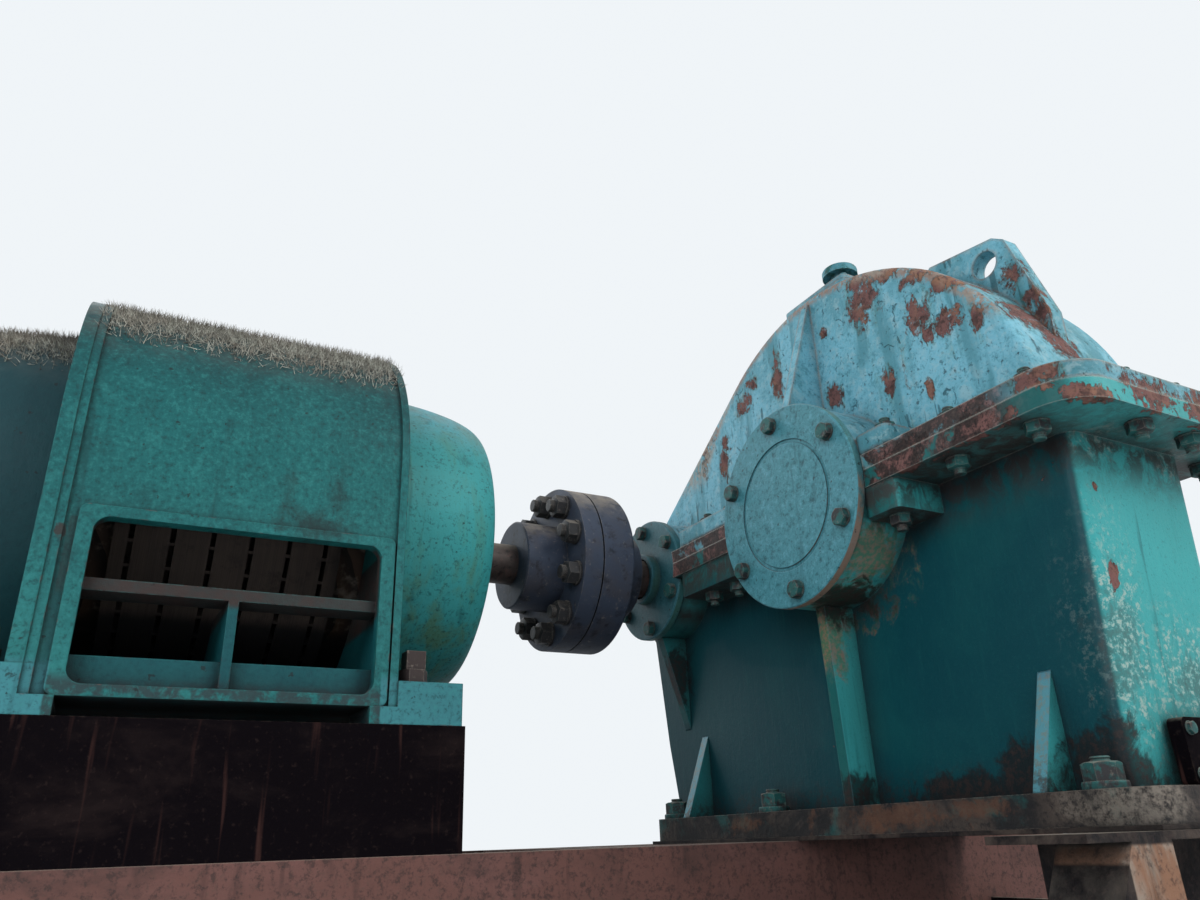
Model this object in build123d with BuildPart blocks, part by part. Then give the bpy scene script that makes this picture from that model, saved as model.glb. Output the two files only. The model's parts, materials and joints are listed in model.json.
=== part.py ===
from build123d import *
import math
import os

# Drive unit of a ball mill: slip-ring motor, pin coupling and single-stage gear reducer on a
# steel bed. Millimetres. +X runs along the shafts from the motor to the reducer, +Y points
# away from the operator's side, +Z up. The origin lies on the floor, on the underside of the
# bed's middle cross beam, straight below the joint of the coupling.

# Driving sizes
shaft_height = 1125.0            # shaft line above the floor
bed_height = 400.0               # depth of the bed's beams
motor_centre_height = 500.0      # shaft line above the motor's feet
centre_distance = 700.0          # input shaft to output shaft
running_clearance = 0.05         # shafts in their bearing seats, on the radius
seat_gap = 0.3                   # between curved faces that lie side by side
end_play = 5.0                   # between a turning shaft's end and what covers it

# Bed
bed_rear_x = -1690.0
bed_front_x = 1227.0
beam_flange_width = 110.0
beam_web = 16.0
beam_flange = 22.0
beam_end_cut = 56.0
cross_beam_width = 150.0
cross_beam_places = (-1560.0, -800.0, 0.0, 335.0, 771.0)

# Near-side outrigger that carries the reducer's overhanging end
outrigger_x = 85.0
outrigger_length = 930.0
outrigger_y = -1395.0
outrigger_width = 170.0
outrigger_depth = 200.0
outrigger_beam = 50.0
outrigger_setback = 105.0        # beam behind the front of the posts
outrigger_plate = 12.0
post_setback = 95.0              # post behind the end of the plate
post_top_x = 92.0
post_foot_x = 197.0
post_shoulder = 175.0            # where the post is full width, below the plate
post_width = 120.0
tie_depth = 140.0

# Motor pedestal
pedestal_margin = 7.0            # pedestal beyond the motor's feet
pedestal_wall = 20.0
pedestal_top_plate = 26.0
pedestal_opening_inset = 170.0

# Motor frame
frame_front_x = -625.0
frame_length = 614.0
frame_half_width = 525.0
frame_crown = 412.0              # crown above the shaft line
frame_shoulder = 395.0
frame_wall = 22.0
frame_skirt = 468.0              # lower edge below the shaft line
frame_floor_wall = 20.0
rim_width = 16.0
rim_height = 7.0
collar_length = 26.0             # band behind the frame's rear rim
collar_height = 10.0
window_rear_margin = 61.0        # window from the frame's ends
window_front_margin = 46.0
window_top = 160.0               # below the shaft line
window_bottom = 448.0
window_corner = 26.0
lip_width = 26.0
lip_height = 8.0
lip_corner = 14.0
foot_reach = 128.0
foot_thick = 80.0
foot_width = 150.0
foot_spread = 13.0               # feet beyond the frame's side
foot_under_frame = 52.0
ledge_depth = 276.0              # ledge below the shaft line
ledge_thick = 22.0
ledge_width = 72.0
bar_forward = 6.0                # ledge and post in front of the wall's inner face
kick_plate_top = 395.0
kick_plate_thick = 14.0
kick_plate_inset = 40.0
window_post = 18.0

# Stator core, windings and rotor
core_radius = 380.0
core_bore = 250.0
core_end_pack_width = 27.0
core_pack_width = 64.0
core_slot_width = 10.0
core_slot_count = 6
core_slot_depth = 50.0
winding_length = 92.0
winding_outer = 340.0
winding_inner = 262.0
winding_round = 18.0
air_gap = 5.0

# End shields
shield_radius = 388.0
shield_nose_radius = 328.0
shield_length = 273.0
shield_plate = 24.0
shield_recess = 12.0
shield_wall = 18.0
shield_inset = 40.0
bearing_hub_radius = 130.0
bearing_hub_length = 90.0
bearing_cap_radius = 150.0
bearing_cap_thick = 26.0
slip_ring_radius = 300.0
slip_ring_length = 250.0
slip_ring_wall = 8.0
slip_ring_round = 45.0

# Terminal box and lifting eyes
terminal_length = 300.0
terminal_height = 200.0
terminal_depth = 150.0
terminal_wall = 8.0
terminal_corner = 14.0
terminal_drop = -22.0
gland_radius = 32.0
gland_length = 60.0
eye_ring = 34.0
eye_wire = 11.0
eye_shank = 16.0
eye_collar = 14.0
eye_inset = 36.0
slip_ring_clear = 60.0

# Coupling
coupling_radius = 228.0
coupling_motor_flange = 55.5
coupling_reducer_flange = 97.0
coupling_gap = 4.0
hub_radius = 121.0
hub_motor_length = 172.0
hub_reducer_length = 180.0
pin_count = 10
pin_circle_radius = 184.0
pin_radius = 18.0
bush_radius = 31.0
pin_ring_radius = 33.0
pin_ring_thick = 7.0
pin_hexagon_width = 55.0
pin_hexagon_thick = 29.0
pin_tail_length = 16.0
coupling_round = 9.0

# Shafts
shaft_radius = 55.0
output_shaft_radius = 95.0
output_seat_radius = 100.0
output_shaft_end = 300.0
keyway_width = 45.0
keyway_depth = 15.5
keyway_length = 250.0
keyway_setback = 20.0
output_shaft_clear = 24.0

# Reducer
reducer_mid_x = 553.0
housing_width = 346.0
drum_radius = 606.0
pinion_side_radius = 212.0
near_wall_top = 634.0            # near end wall, from the output axis, at the split
near_wall_foot = 594.0
far_wall_foot = 62.0
far_wall_knee = 105.0
far_knee_height = 200.0          # knee of the far wall above the foot plate
foot_plate_thick = 55.0
shim_thick = 8.0
foot_near_overhang = 81.0        # foot plate beyond the near end wall
foot_far = 82.0
foot_half = 263.0
foot_corner = 55.0
flange_half = 307.0
flange_near_overhang = 116.0     # flange beyond the near end wall
flange_far = 262.0
flange_corner = 95.0
cover_flange = 35.0
base_flange = 40.0
boss_face_x = 250.0
input_boss_face_x = 292.0
output_boss_radius = 238.0
input_boss_radius = 172.0
bolt_block_top = 83.0
bolt_block_bottom = 105.0
middle_block_far = 205.0
middle_block_near = 455.0
near_block_far = 925.0
near_block_near = 1020.0
block_corner = 16.0
base_corner = 30.0
drum_edge = 22.0
output_cap_radius = 242.0
output_cap_thick = 24.0
output_cap_circle = 208.0
output_cap_recess_radius = 158.0
output_cap_recess = 3.0
input_cap_radius = 177.0
input_cap_thick = 24.0
input_cap_circle = 148.0
seal_boss_radius = 74.0
seal_boss_length = 28.0
seal_clearance = 5.0
cap_bolt_count = 6
cap_bolt_phase = 26.0
cap_bolt_head = 36.0
cap_bolt_head_thick = 19.0
cap_chamfer = 3.0
cap_groove = 10.0
cap_room = 1.5
rib_thick = 28.0
main_rib_face_x = 292.0
main_rib_foot_x = 307.0
cover_rib_face_x = 258.0         # at the boss; the rib runs out to the wall at the crown
foot_gusset_depth = 455.0
foot_gusset_x = 300.0
foot_gusset_places = (-80.0, -1171.0)
pinion_gusset_depth = 430.0
pinion_gusset_x = 300.0
cover_rib_drop = 26.0
cover_rib_lip = 6.0
lug_thick = 42.0
lug_hole = 33.0
lug_hole_place = (-437.0, 488.0)
lug_outline = (
    (-250.0, 545.0),
    (-290.0, 572.0),
    (-470.0, 541.0),
    (-498.0, 520.0),
    (-562.0, 300.0),
    (-560.0, 225.0),
    (-500.0, 230.0),
)
far_lug_hole_place = (375.0, 535.0)
far_lug_outline = (
    (250.0, 530.0),
    (320.0, 600.0),
    (372.0, 608.0),
    (420.0, 585.0),
    (500.0, 380.0),
    (430.0, 400.0),
)
split_bolt_radius = 12.0
split_nut = 41.0
split_nut_thick = 22.0
split_tail = 14.0
split_edge = 54.0
split_edge_near = 45.0
end_bolt_half_pitch = 77.0
flange_bolt_rows = (125.0, 307.0)    # from the flange's near end
flange_bolt_far = 37.0           # from the flange's far end
block_bolt_rows = (975.0, 400.0, 290.0)
foot_bolt_places = (16.0, -410.0, -1270.0)
foot_bolt_x = 335.0
foot_nut = 55.0
foot_nut_thick = 30.0
foot_stud_radius = 16.0
foot_stud_tail = 22.0
motor_bolt_setting = 38.0
motor_nut = 50.0
motor_nut_thick = 26.0
motor_bolt_head = 38.0
motor_bolt_head_thick = 36.0
inspection_length = 240.0
inspection_width = 290.0
inspection_plate = 12.0
inspection_frame = 40.0
inspection_rise = 10.0
inspection_corner = 20.0
breather_place = (450.0, -772.0)
breather_radius = 46.0
breather_stem = 24.0
breather_height = 46.0
breather_round = 8.0
cleaning_width = 150.0
cleaning_height = 110.0
cleaning_corner = 12.0
cleaning_proud = 14.0
gauge_radius = 46.0
gauge_glass_radius = 28.0
gauge_thick = 16.0
gauge_recess = 6.0
gauge_height = 162.0             # level gauge and drain plug, above the foot plate
drain_height = 52.0
drain_collar_radius = 32.0
drain_collar_thick = 10.0
drain_hexagon = 41.0
drain_hexagon_thick = 22.0

# Places worked out from the driving sizes
bed_top = bed_height
foot_half_width = frame_half_width + foot_spread
bed_half_width = foot_half_width
foot_bottom_depth = shaft_height - bed_top - shim_thick
foot_top_depth = foot_bottom_depth - foot_plate_thick
far_knee_depth = foot_top_depth - far_knee_height
foot_near = centre_distance + near_wall_foot + foot_near_overhang
flange_near = centre_distance + near_wall_top + flange_near_overhang
pedestal_front_x = frame_front_x + foot_reach + pedestal_margin
pedestal_length = frame_length + 2 * (foot_reach + pedestal_margin)
frame_rear_x = frame_front_x - frame_length
frame_mid_x = frame_front_x - frame_length / 2
window_rear_x = frame_rear_x + window_rear_margin
window_length = frame_length - window_rear_margin - window_front_margin
pedestal_top = shaft_height - motor_centre_height
wall_x = reducer_mid_x - housing_width / 2
shield_nose_x = frame_front_x + shield_length
core_packs_length = 2 * core_end_pack_width + (core_slot_count - 1) * core_pack_width
core_length = core_packs_length + core_slot_count * core_slot_width
core_rear_x = frame_mid_x - core_length / 2
core_front_x = core_rear_x + core_length
shaft_line = Axis((0, 0, shaft_height), (1, 0, 0))
motor_middle = Plane.YZ.offset(frame_mid_x)
reducer_middle = Plane.YZ.offset(reducer_mid_x)
shaft_level = Plane.XY.offset(shaft_height)

os.makedirs("parts", exist_ok=True)


def across_shaft(x):
    """Plane square to the motor's shaft line; its own axes are +Y and +Z."""
    return Plane(origin=(x, 0, shaft_height), x_dir=(0, 1, 0), z_dir=(1, 0, 0))


def across_output(x):
    """Plane square to the reducer's output axis."""
    return Plane(origin=(x, -centre_distance, shaft_height), x_dir=(0, 1, 0), z_dir=(1, 0, 0))


def along_y(y):
    """Upright plane that faces the operator's side; its own axes are +X and +Z."""
    return Plane(origin=(0, y, shaft_height), x_dir=(1, 0, 0), z_dir=(0, -1, 0))


def level(z):
    """Level plane at a height above the floor; its own axes are +X and +Y."""
    return Plane.XY.offset(z)


def save(piece, name):
    """Label a finished piece and write its file."""
    piece.part.label = name
    export_step(piece.part, f"parts/{name}.step")


def arch(grow, skirt):
    """Arched section of the motor frame, grown outwards, down to its skirt's edge."""
    half_width = frame_half_width + grow
    crown = frame_crown + grow
    shoulder = frame_shoulder + grow
    with BuildSketch() as section:
        with BuildLine():
            Line((-half_width, -skirt), (half_width, -skirt))
            Line((half_width, -skirt), (half_width, crown - shoulder))
            CenterArc((half_width - shoulder, crown - shoulder), shoulder, 0, 90)
            Line((half_width - shoulder, crown), (shoulder - half_width, crown))
            CenterArc((shoulder - half_width, crown - shoulder), shoulder, 90, 90)
            Line((-half_width, crown - shoulder), (-half_width, -skirt))
        make_face()
    return section.sketch


def upright_box(low, high, mode=Mode.ADD):
    """Box between two corners of the drive unit, added to the open part."""
    size = [b - a for a, b in zip(low, high)]
    with Locations(tuple(low)):
        Box(*size, align=(Align.MIN, Align.MIN, Align.MIN), mode=mode)


# Bed: two long channels, cross beams between them
def channel_section(web_at, side):
    """Channel section standing on its flanges, its web at web_at and its flanges towards side."""
    with Locations((web_at + side * beam_flange_width / 2, bed_height / 2)):
        Rectangle(beam_flange_width, bed_height)
    with Locations((web_at + side * (beam_web + beam_flange_width / 2), bed_height / 2)):
        Rectangle(beam_flange_width, bed_height - 2 * beam_flange, mode=Mode.SUBTRACT)


bed_length = bed_front_x - bed_rear_x
with BuildPart() as bed_beam_near:
    with BuildSketch(Plane.YZ.offset(bed_rear_x)):
        channel_section(-bed_half_width, 1)
    extrude(amount=bed_length)
    with BuildSketch(Plane.XZ.offset(bed_half_width)):
        with BuildLine():
            Polyline(
                (bed_front_x + 1, bed_height + 1),
                (bed_front_x - beam_end_cut, bed_height + 1),
                (bed_front_x + 1, bed_height - beam_end_cut),
                close=True,
            )
        make_face()
    extrude(amount=-beam_flange_width, mode=Mode.SUBTRACT)
save(bed_beam_near, "bed_beam_near")

with BuildPart() as bed_beam_far:
    mirror(bed_beam_near.part, about=Plane.XZ)
save(bed_beam_far, "bed_beam_far")


def beam_section(place, height):
    """Wide-flange beam section, drawn in the open sketch about mid height of the bed."""
    with Locations((place, bed_height / 2)):
        Rectangle(cross_beam_width, height)
    for side in (-1, 1):
        with Locations((place + side * (cross_beam_width + beam_web) / 2, bed_height / 2)):
            Rectangle(cross_beam_width, bed_height - 2 * beam_flange, mode=Mode.SUBTRACT)


cross_beam_reach = bed_half_width - beam_flange_width
with BuildPart() as bed_cross_beams:
    for place in cross_beam_places:
        with BuildSketch(Plane.XZ):
            beam_section(place, bed_height)
        extrude(amount=cross_beam_reach, both=True)
        with Locations((place, 0, bed_height / 2)):
            Box(beam_web, 2 * (bed_half_width - beam_web), bed_height - 2 * beam_flange)
save(bed_cross_beams, "bed_cross_beams")

# Outrigger under the reducer's overhanging end: plate, beam, two shouldered posts, two ties
outrigger_top = bed_top - outrigger_plate
outrigger_low = outrigger_top - outrigger_depth
outrigger_mid_x = outrigger_x + outrigger_length / 2
post_inner_x = outrigger_x + post_setback + post_top_x
beam_front_y = outrigger_y + outrigger_setback
with BuildPart() as outrigger:
    upright_box(
        (outrigger_x, outrigger_y, outrigger_top),
        (outrigger_x + outrigger_length, outrigger_y + outrigger_width, bed_top),
    )
    upright_box(
        (outrigger_x + post_setback, beam_front_y, outrigger_low),
        (
            outrigger_x + outrigger_length - post_setback,
            beam_front_y + outrigger_beam,
            outrigger_top,
        ),
    )
    with BuildSketch(Plane.XZ.offset(-outrigger_y)):
        with BuildLine():
            Polyline(
                (post_inner_x, 0),
                (post_inner_x, outrigger_top),
                (post_inner_x - post_top_x, outrigger_top),
                (post_inner_x - post_foot_x, outrigger_top - post_shoulder),
                (post_inner_x - post_foot_x, 0),
                close=True,
            )
        make_face()
    extrude(amount=-post_width)
    tie_x = post_inner_x - post_top_x / 2
    upright_box(
        (tie_x - beam_web / 2, beam_front_y + outrigger_beam, outrigger_low - tie_depth / 2),
        (tie_x + beam_web / 2, -bed_half_width, outrigger_low + tie_depth / 2),
    )
    upright_box(
        (tie_x - beam_web / 2, beam_front_y, outrigger_low - tie_depth / 2),
        (tie_x + beam_web / 2, beam_front_y + outrigger_beam, outrigger_low),
    )
    mirror(about=Plane.YZ.offset(outrigger_mid_x))
save(outrigger, "outrigger")

# Motor pedestal: welded box with a machined top plate, open in the middle
with BuildPart() as motor_pedestal:
    pedestal_rear_x = pedestal_front_x - pedestal_length
    upright_box(
        (pedestal_rear_x, -bed_half_width, bed_top),
        (pedestal_front_x, bed_half_width, pedestal_top),
    )
    upright_box(
        (
            pedestal_rear_x + pedestal_wall,
            -bed_half_width + pedestal_wall,
            bed_top,
        ),
        (
            pedestal_front_x - pedestal_wall,
            bed_half_width - pedestal_wall,
            pedestal_top - pedestal_top_plate,
        ),
        mode=Mode.SUBTRACT,
    )
    upright_box(
        (
            pedestal_rear_x + pedestal_opening_inset,
            -bed_half_width + pedestal_opening_inset,
            bed_top,
        ),
        (
            pedestal_front_x - pedestal_opening_inset,
            bed_half_width - pedestal_opening_inset,
            pedestal_top + 1,
        ),
        mode=Mode.SUBTRACT,
    )
save(motor_pedestal, "motor_pedestal")

# Motor frame: arched casting with a window in each side, feet, inner ledges and kick plates
window_mid_x = window_rear_x + window_length / 2
window_mid_depth = (window_top + window_bottom) / 2
window_height = window_bottom - window_top
foot_length = foot_reach + foot_under_frame
with BuildPart() as motor_frame:
    with BuildSketch(across_shaft(frame_rear_x)):
        add(arch(0, frame_skirt))
    extrude(amount=frame_length)
    for rim_x in (frame_rear_x, frame_front_x - rim_width):
        with BuildSketch(across_shaft(rim_x)):
            add(arch(rim_height, frame_skirt))
        extrude(amount=rim_width)
    with BuildSketch(across_shaft(frame_rear_x - collar_length)):
        add(arch(collar_height, frame_skirt))
    extrude(amount=collar_length)
    with BuildSketch(along_y(0)):
        with Locations((window_mid_x, -window_mid_depth)):
            RectangleRounded(
                window_length + 2 * lip_width,
                window_height + 2 * (frame_skirt - window_bottom),
                lip_corner,
            )
    extrude(amount=frame_half_width + lip_height, both=True)
    with BuildSketch(across_shaft(frame_rear_x - collar_length)):
        add(arch(-frame_wall, frame_skirt - frame_floor_wall))
    extrude(amount=frame_length + collar_length, mode=Mode.SUBTRACT)
    with BuildSketch(along_y(0)):
        with Locations((window_mid_x, -window_mid_depth)):
            RectangleRounded(window_length, window_height, window_corner)
    extrude(amount=frame_half_width + 2 * lip_height, both=True, mode=Mode.SUBTRACT)
    with BuildSketch(across_shaft(frame_mid_x - window_post / 2)):
        add(arch(bar_forward - frame_wall, frame_skirt - frame_floor_wall))
        with Locations((0, frame_crown - (frame_crown + ledge_depth) / 2)):
            Rectangle(2 * frame_half_width, frame_crown + ledge_depth, mode=Mode.SUBTRACT)
        Circle(core_radius + seat_gap, mode=Mode.SUBTRACT)
    extrude(amount=window_post)
    for side in (-1, 1):
        ledge_y = side * (frame_half_width - frame_wall + bar_forward - ledge_width / 2)
        with Locations((frame_mid_x, ledge_y, shaft_height - ledge_depth)):
            Box(frame_length - 2 * shield_inset, ledge_width, ledge_thick)
        kick_y = side * (frame_half_width - kick_plate_inset)
        kick_z = shaft_height - (kick_plate_top + frame_skirt) / 2
        with Locations((frame_mid_x, kick_y, kick_z)):
            Box(
                frame_length - 2 * shield_inset,
                kick_plate_thick,
                frame_skirt - kick_plate_top,
            )
        for end in (-1, 1):
            foot_edge = frame_mid_x + end * (frame_length / 2 - foot_under_frame)
            foot_y = side * (foot_half_width - foot_width / 2)
            with Locations((foot_edge + end * foot_length / 2, foot_y, pedestal_top)):
                Box(
                    foot_length,
                    foot_width,
                    motor_centre_height - frame_skirt,
                    align=(Align.CENTER, Align.CENTER, Align.MIN),
                )
            foot_outer = frame_mid_x + end * (frame_length / 2 + foot_reach / 2)
            with Locations((foot_outer, foot_y, pedestal_top)):
                Box(
                    foot_reach,
                    foot_width,
                    foot_thick,
                    align=(Align.CENTER, Align.CENTER, Align.MIN),
                )
save(motor_frame, "motor_frame")

# Stator core: plate packs with cooling gaps between them, cut as rings from the outside
with BuildPart() as motor_stator_core:
    with BuildSketch(across_shaft(core_rear_x)):
        Circle(core_radius)
        Circle(core_bore, mode=Mode.SUBTRACT)
    extrude(amount=core_length)
    for vent in range(core_slot_count):
        vent_x = core_rear_x + core_end_pack_width + vent * (core_pack_width + core_slot_width)
        with BuildSketch(across_shaft(vent_x)):
            Circle(core_radius)
            Circle(core_radius - core_slot_depth, mode=Mode.SUBTRACT)
        extrude(amount=core_slot_width, mode=Mode.SUBTRACT)
save(motor_stator_core, "motor_stator_core")

with BuildPart() as motor_end_windings:
    for start in (core_front_x, core_rear_x - winding_length):
        with BuildSketch(across_shaft(start)):
            Circle(winding_outer)
            Circle(winding_inner, mode=Mode.SUBTRACT)
        extrude(amount=winding_length)
    fillet(
        motor_end_windings.edges()
        .filter_by(GeomType.CIRCLE)
        .filter_by(lambda edge: abs(edge.center().X - frame_mid_x) > core_length / 2 + 1),
        radius=winding_round,
    )
save(motor_end_windings, "motor_end_windings")


def bell(thick):
    """Half section of the bowl-shaped end shield, less a wall of some thickness."""
    nose_x = frame_front_x + shield_length - thick
    nose_radius = shield_nose_radius - thick
    bulge = shield_radius - shield_nose_radius
    with BuildSketch() as section:
        with BuildLine():
            Line((frame_front_x, 0), (frame_front_x, shield_radius - thick))
            EllipticalCenterArc(
                (frame_front_x, nose_radius),
                shield_length - thick,
                bulge,
                start_angle=0,
                arc_size=90,
            )
            Line((nose_x, nose_radius), (nose_x, 0))
            Line((nose_x, 0), (frame_front_x, 0))
        make_face()
    return section.sketch


# End shields: bowl with a wall, a plate that fills the frame's arch, and a bearing hub
with BuildPart() as motor_end_shield_drive:
    with BuildSketch(along_y(0)):
        add(bell(0))
    revolve(axis=shaft_line)
    with BuildSketch(across_shaft(frame_front_x - shield_recess - shield_plate)):
        add(arch(-frame_wall - seat_gap, frame_skirt - frame_floor_wall - seat_gap))
    extrude(amount=shield_plate)
    with BuildSketch(across_shaft(frame_front_x - shield_recess)):
        Circle(shield_radius)
    extrude(amount=shield_recess)
    with BuildSketch(across_shaft(frame_front_x - shield_recess - shield_plate)):
        Circle(shield_radius - shield_wall)
    extrude(amount=shield_recess + shield_plate, mode=Mode.SUBTRACT)
    with BuildSketch(along_y(0)):
        add(bell(shield_wall))
    revolve(axis=shaft_line, mode=Mode.SUBTRACT)
    with BuildSketch(across_shaft(shield_nose_x - bearing_hub_length)):
        Circle(bearing_hub_radius)
    extrude(amount=bearing_hub_length)
    with BuildSketch(across_shaft(shield_nose_x - bearing_hub_length)):
        Circle(shaft_radius + running_clearance)
    extrude(amount=bearing_hub_length, mode=Mode.SUBTRACT)
save(motor_end_shield_drive, "motor_end_shield_drive")

with BuildPart() as motor_end_shield_rear:
    mirror(motor_end_shield_drive.part, about=motor_middle)
save(motor_end_shield_rear, "motor_end_shield_rear")

with BuildPart() as motor_bearing_cap:
    with BuildSketch(across_shaft(shield_nose_x)):
        Circle(bearing_cap_radius)
        Circle(shaft_radius + seal_clearance, mode=Mode.SUBTRACT)
    extrude(amount=bearing_cap_thick)
    chamfer(motor_bearing_cap.faces().sort_by(Axis.X)[-1].outer_wire().edges(), length=5)
save(motor_bearing_cap, "motor_bearing_cap")

# Slip ring housing: drum with a rounded rear end on the rear shield
shield_rear_x = 2 * frame_mid_x - shield_nose_x
with BuildPart() as slip_ring_housing:
    with BuildSketch(across_shaft(shield_rear_x - slip_ring_length)):
        Circle(slip_ring_radius)
    extrude(amount=slip_ring_length)
    fillet(slip_ring_housing.edges().sort_by(Axis.X)[0], radius=slip_ring_round)
    offset(amount=-slip_ring_wall, openings=slip_ring_housing.faces().sort_by(Axis.X)[-1])
save(slip_ring_housing, "slip_ring_housing")

# Terminal box on the far side, with a gland below it
terminal_z = shaft_height + terminal_drop
with BuildPart() as motor_terminal_box:
    with BuildSketch(Plane.XZ.offset(-frame_half_width)):
        with Locations((frame_mid_x, terminal_z)):
            RectangleRounded(terminal_length, terminal_height, terminal_corner)
    extrude(amount=-terminal_depth)
    with BuildSketch(Plane.XZ.offset(-frame_half_width - terminal_depth)):
        with Locations((frame_mid_x, terminal_z)):
            RectangleRounded(
                terminal_length + 2 * terminal_wall,
                terminal_height + 2 * terminal_wall,
                terminal_corner,
            )
    extrude(amount=-terminal_wall)
    with BuildSketch(level(terminal_z - terminal_height / 2 - gland_length)):
        with Locations((frame_mid_x, frame_half_width + terminal_depth / 2)):
            Circle(gland_radius)
    extrude(amount=gland_length)
save(motor_terminal_box, "motor_terminal_box")

# Lifting eyes on the crown of the frame
with BuildPart() as motor_lifting_eyes:
    for eye_x in (frame_rear_x + eye_inset, frame_front_x - eye_inset):
        crown_z = shaft_height + frame_crown
        with Locations((eye_x, 0, crown_z)):
            Cylinder(eye_shank, eye_collar, align=(Align.CENTER, Align.CENTER, Align.MIN))
        with Locations(Location((eye_x, 0, crown_z + eye_ring + eye_collar), (90, 0, 90))):
            Torus(eye_ring, eye_wire)
save(motor_lifting_eyes, "motor_lifting_eyes")

# Motor shaft and rotor
shaft_front_x = -coupling_gap
shaft_rear_x = shield_rear_x - slip_ring_length + slip_ring_clear
with BuildPart() as motor_shaft:
    with BuildSketch(across_shaft(shaft_rear_x)):
        Circle(shaft_radius)
    extrude(amount=shaft_front_x - shaft_rear_x)
    chamfer(motor_shaft.edges().filter_by(GeomType.CIRCLE), length=3)
save(motor_shaft, "motor_shaft")

with BuildPart() as motor_rotor:
    with BuildSketch(across_shaft(core_rear_x)):
        Circle(core_bore - air_gap)
        Circle(shaft_radius + running_clearance, mode=Mode.SUBTRACT)
    extrude(amount=core_length)
save(motor_rotor, "motor_rotor")

# Coupling halves: flange with a ring of holes, hub, bore
with BuildPart() as coupling_half_motor:
    with BuildSketch(across_shaft(-coupling_motor_flange)):
        Circle(coupling_radius)
        with PolarLocations(pin_circle_radius, pin_count, start_angle=90):
            Circle(pin_radius + running_clearance, mode=Mode.SUBTRACT)
    extrude(amount=coupling_motor_flange - coupling_gap / 2)
    with BuildSketch(across_shaft(-hub_motor_length)):
        Circle(hub_radius)
    extrude(amount=hub_motor_length - coupling_motor_flange)
    chamfer(coupling_half_motor.faces().sort_by(Axis.X)[0].outer_wire().edges(), length=4)
    with BuildSketch(across_shaft(-hub_motor_length)):
        Circle(shaft_radius + running_clearance)
    extrude(amount=hub_motor_length, mode=Mode.SUBTRACT)
save(coupling_half_motor, "coupling_half_motor")

with BuildPart() as coupling_half_reducer:
    with BuildSketch(across_shaft(coupling_gap / 2)):
        Circle(coupling_radius)
    extrude(amount=coupling_reducer_flange - coupling_gap / 2)
    fillet(
        coupling_half_reducer.faces().sort_by(Axis.X)[-1].outer_wire().edges(),
        radius=coupling_round,
    )
    with BuildSketch(across_shaft(coupling_reducer_flange)):
        Circle(hub_radius)
    extrude(amount=hub_reducer_length - coupling_reducer_flange)
    with BuildSketch(across_shaft(coupling_gap / 2)):
        with PolarLocations(pin_circle_radius, pin_count, start_angle=90):
            Circle(bush_radius + seat_gap)
    extrude(amount=coupling_reducer_flange, mode=Mode.SUBTRACT)
    with BuildSketch(across_shaft(0)):
        Circle(shaft_radius + running_clearance)
    extrude(amount=hub_reducer_length, mode=Mode.SUBTRACT)
save(coupling_half_reducer, "coupling_half_reducer")

# Coupling pins: tail and nut on the motor's side, bush in the reducer's half
nut_back_x = -coupling_motor_flange - pin_ring_thick - pin_hexagon_thick
with BuildPart() as coupling_pins:
    with BuildSketch(across_shaft(nut_back_x - pin_tail_length)):
        with PolarLocations(pin_circle_radius, pin_count, start_angle=90):
            Circle(pin_radius)
    extrude(amount=coupling_gap - nut_back_x + pin_tail_length)
    with BuildSketch(across_shaft(nut_back_x)):
        with PolarLocations(pin_circle_radius, pin_count, start_angle=90):
            RegularPolygon(pin_hexagon_width / 2, 6, major_radius=False)
    extrude(amount=pin_hexagon_thick)
    with BuildSketch(across_shaft(nut_back_x + pin_hexagon_thick)):
        with PolarLocations(pin_circle_radius, pin_count, start_angle=90):
            Circle(pin_ring_radius)
    extrude(amount=pin_ring_thick)
    with BuildSketch(across_shaft(coupling_gap)):
        with PolarLocations(pin_circle_radius, pin_count, start_angle=90):
            Circle(bush_radius)
    extrude(amount=coupling_reducer_flange - 2 * coupling_gap)
save(coupling_pins, "coupling_pins")

# Reducer shafts
input_far_x = 2 * reducer_mid_x - input_boss_face_x
with BuildPart() as reducer_input_shaft:
    with BuildSketch(across_shaft(coupling_gap)):
        Circle(shaft_radius)
    extrude(amount=input_far_x - coupling_gap - end_play)
    chamfer(reducer_input_shaft.edges().filter_by(GeomType.CIRCLE), length=3)
save(reducer_input_shaft, "reducer_input_shaft")

output_cap_back_x = 2 * reducer_mid_x - boss_face_x + output_cap_thick
shaft_step_x = output_cap_back_x + output_shaft_clear
shaft_tip_x = shaft_step_x + output_shaft_end
with BuildPart() as reducer_output_shaft:
    with BuildSketch(across_output(boss_face_x + end_play)):
        Circle(output_seat_radius)
    extrude(amount=shaft_step_x - boss_face_x - end_play)
    with BuildSketch(across_output(shaft_step_x)):
        Circle(output_shaft_radius)
    extrude(amount=output_shaft_end)
    chamfer(reducer_output_shaft.faces().sort_by(Axis.X)[-1].edges(), length=5)
    with Locations(
        (
            shaft_tip_x - keyway_setback,
            -centre_distance,
            shaft_height + output_shaft_radius - keyway_depth,
        )
    ):
        Box(
            keyway_length,
            keyway_width,
            2 * keyway_depth,
            align=(Align.MAX, Align.CENTER, Align.MIN),
            mode=Mode.SUBTRACT,
        )
    keyway_ends = reducer_output_shaft.edges().filter_by(Axis.Z)
    fillet(keyway_ends, radius=keyway_width / 2 - 0.1)
save(reducer_output_shaft, "reducer_output_shaft")


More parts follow.
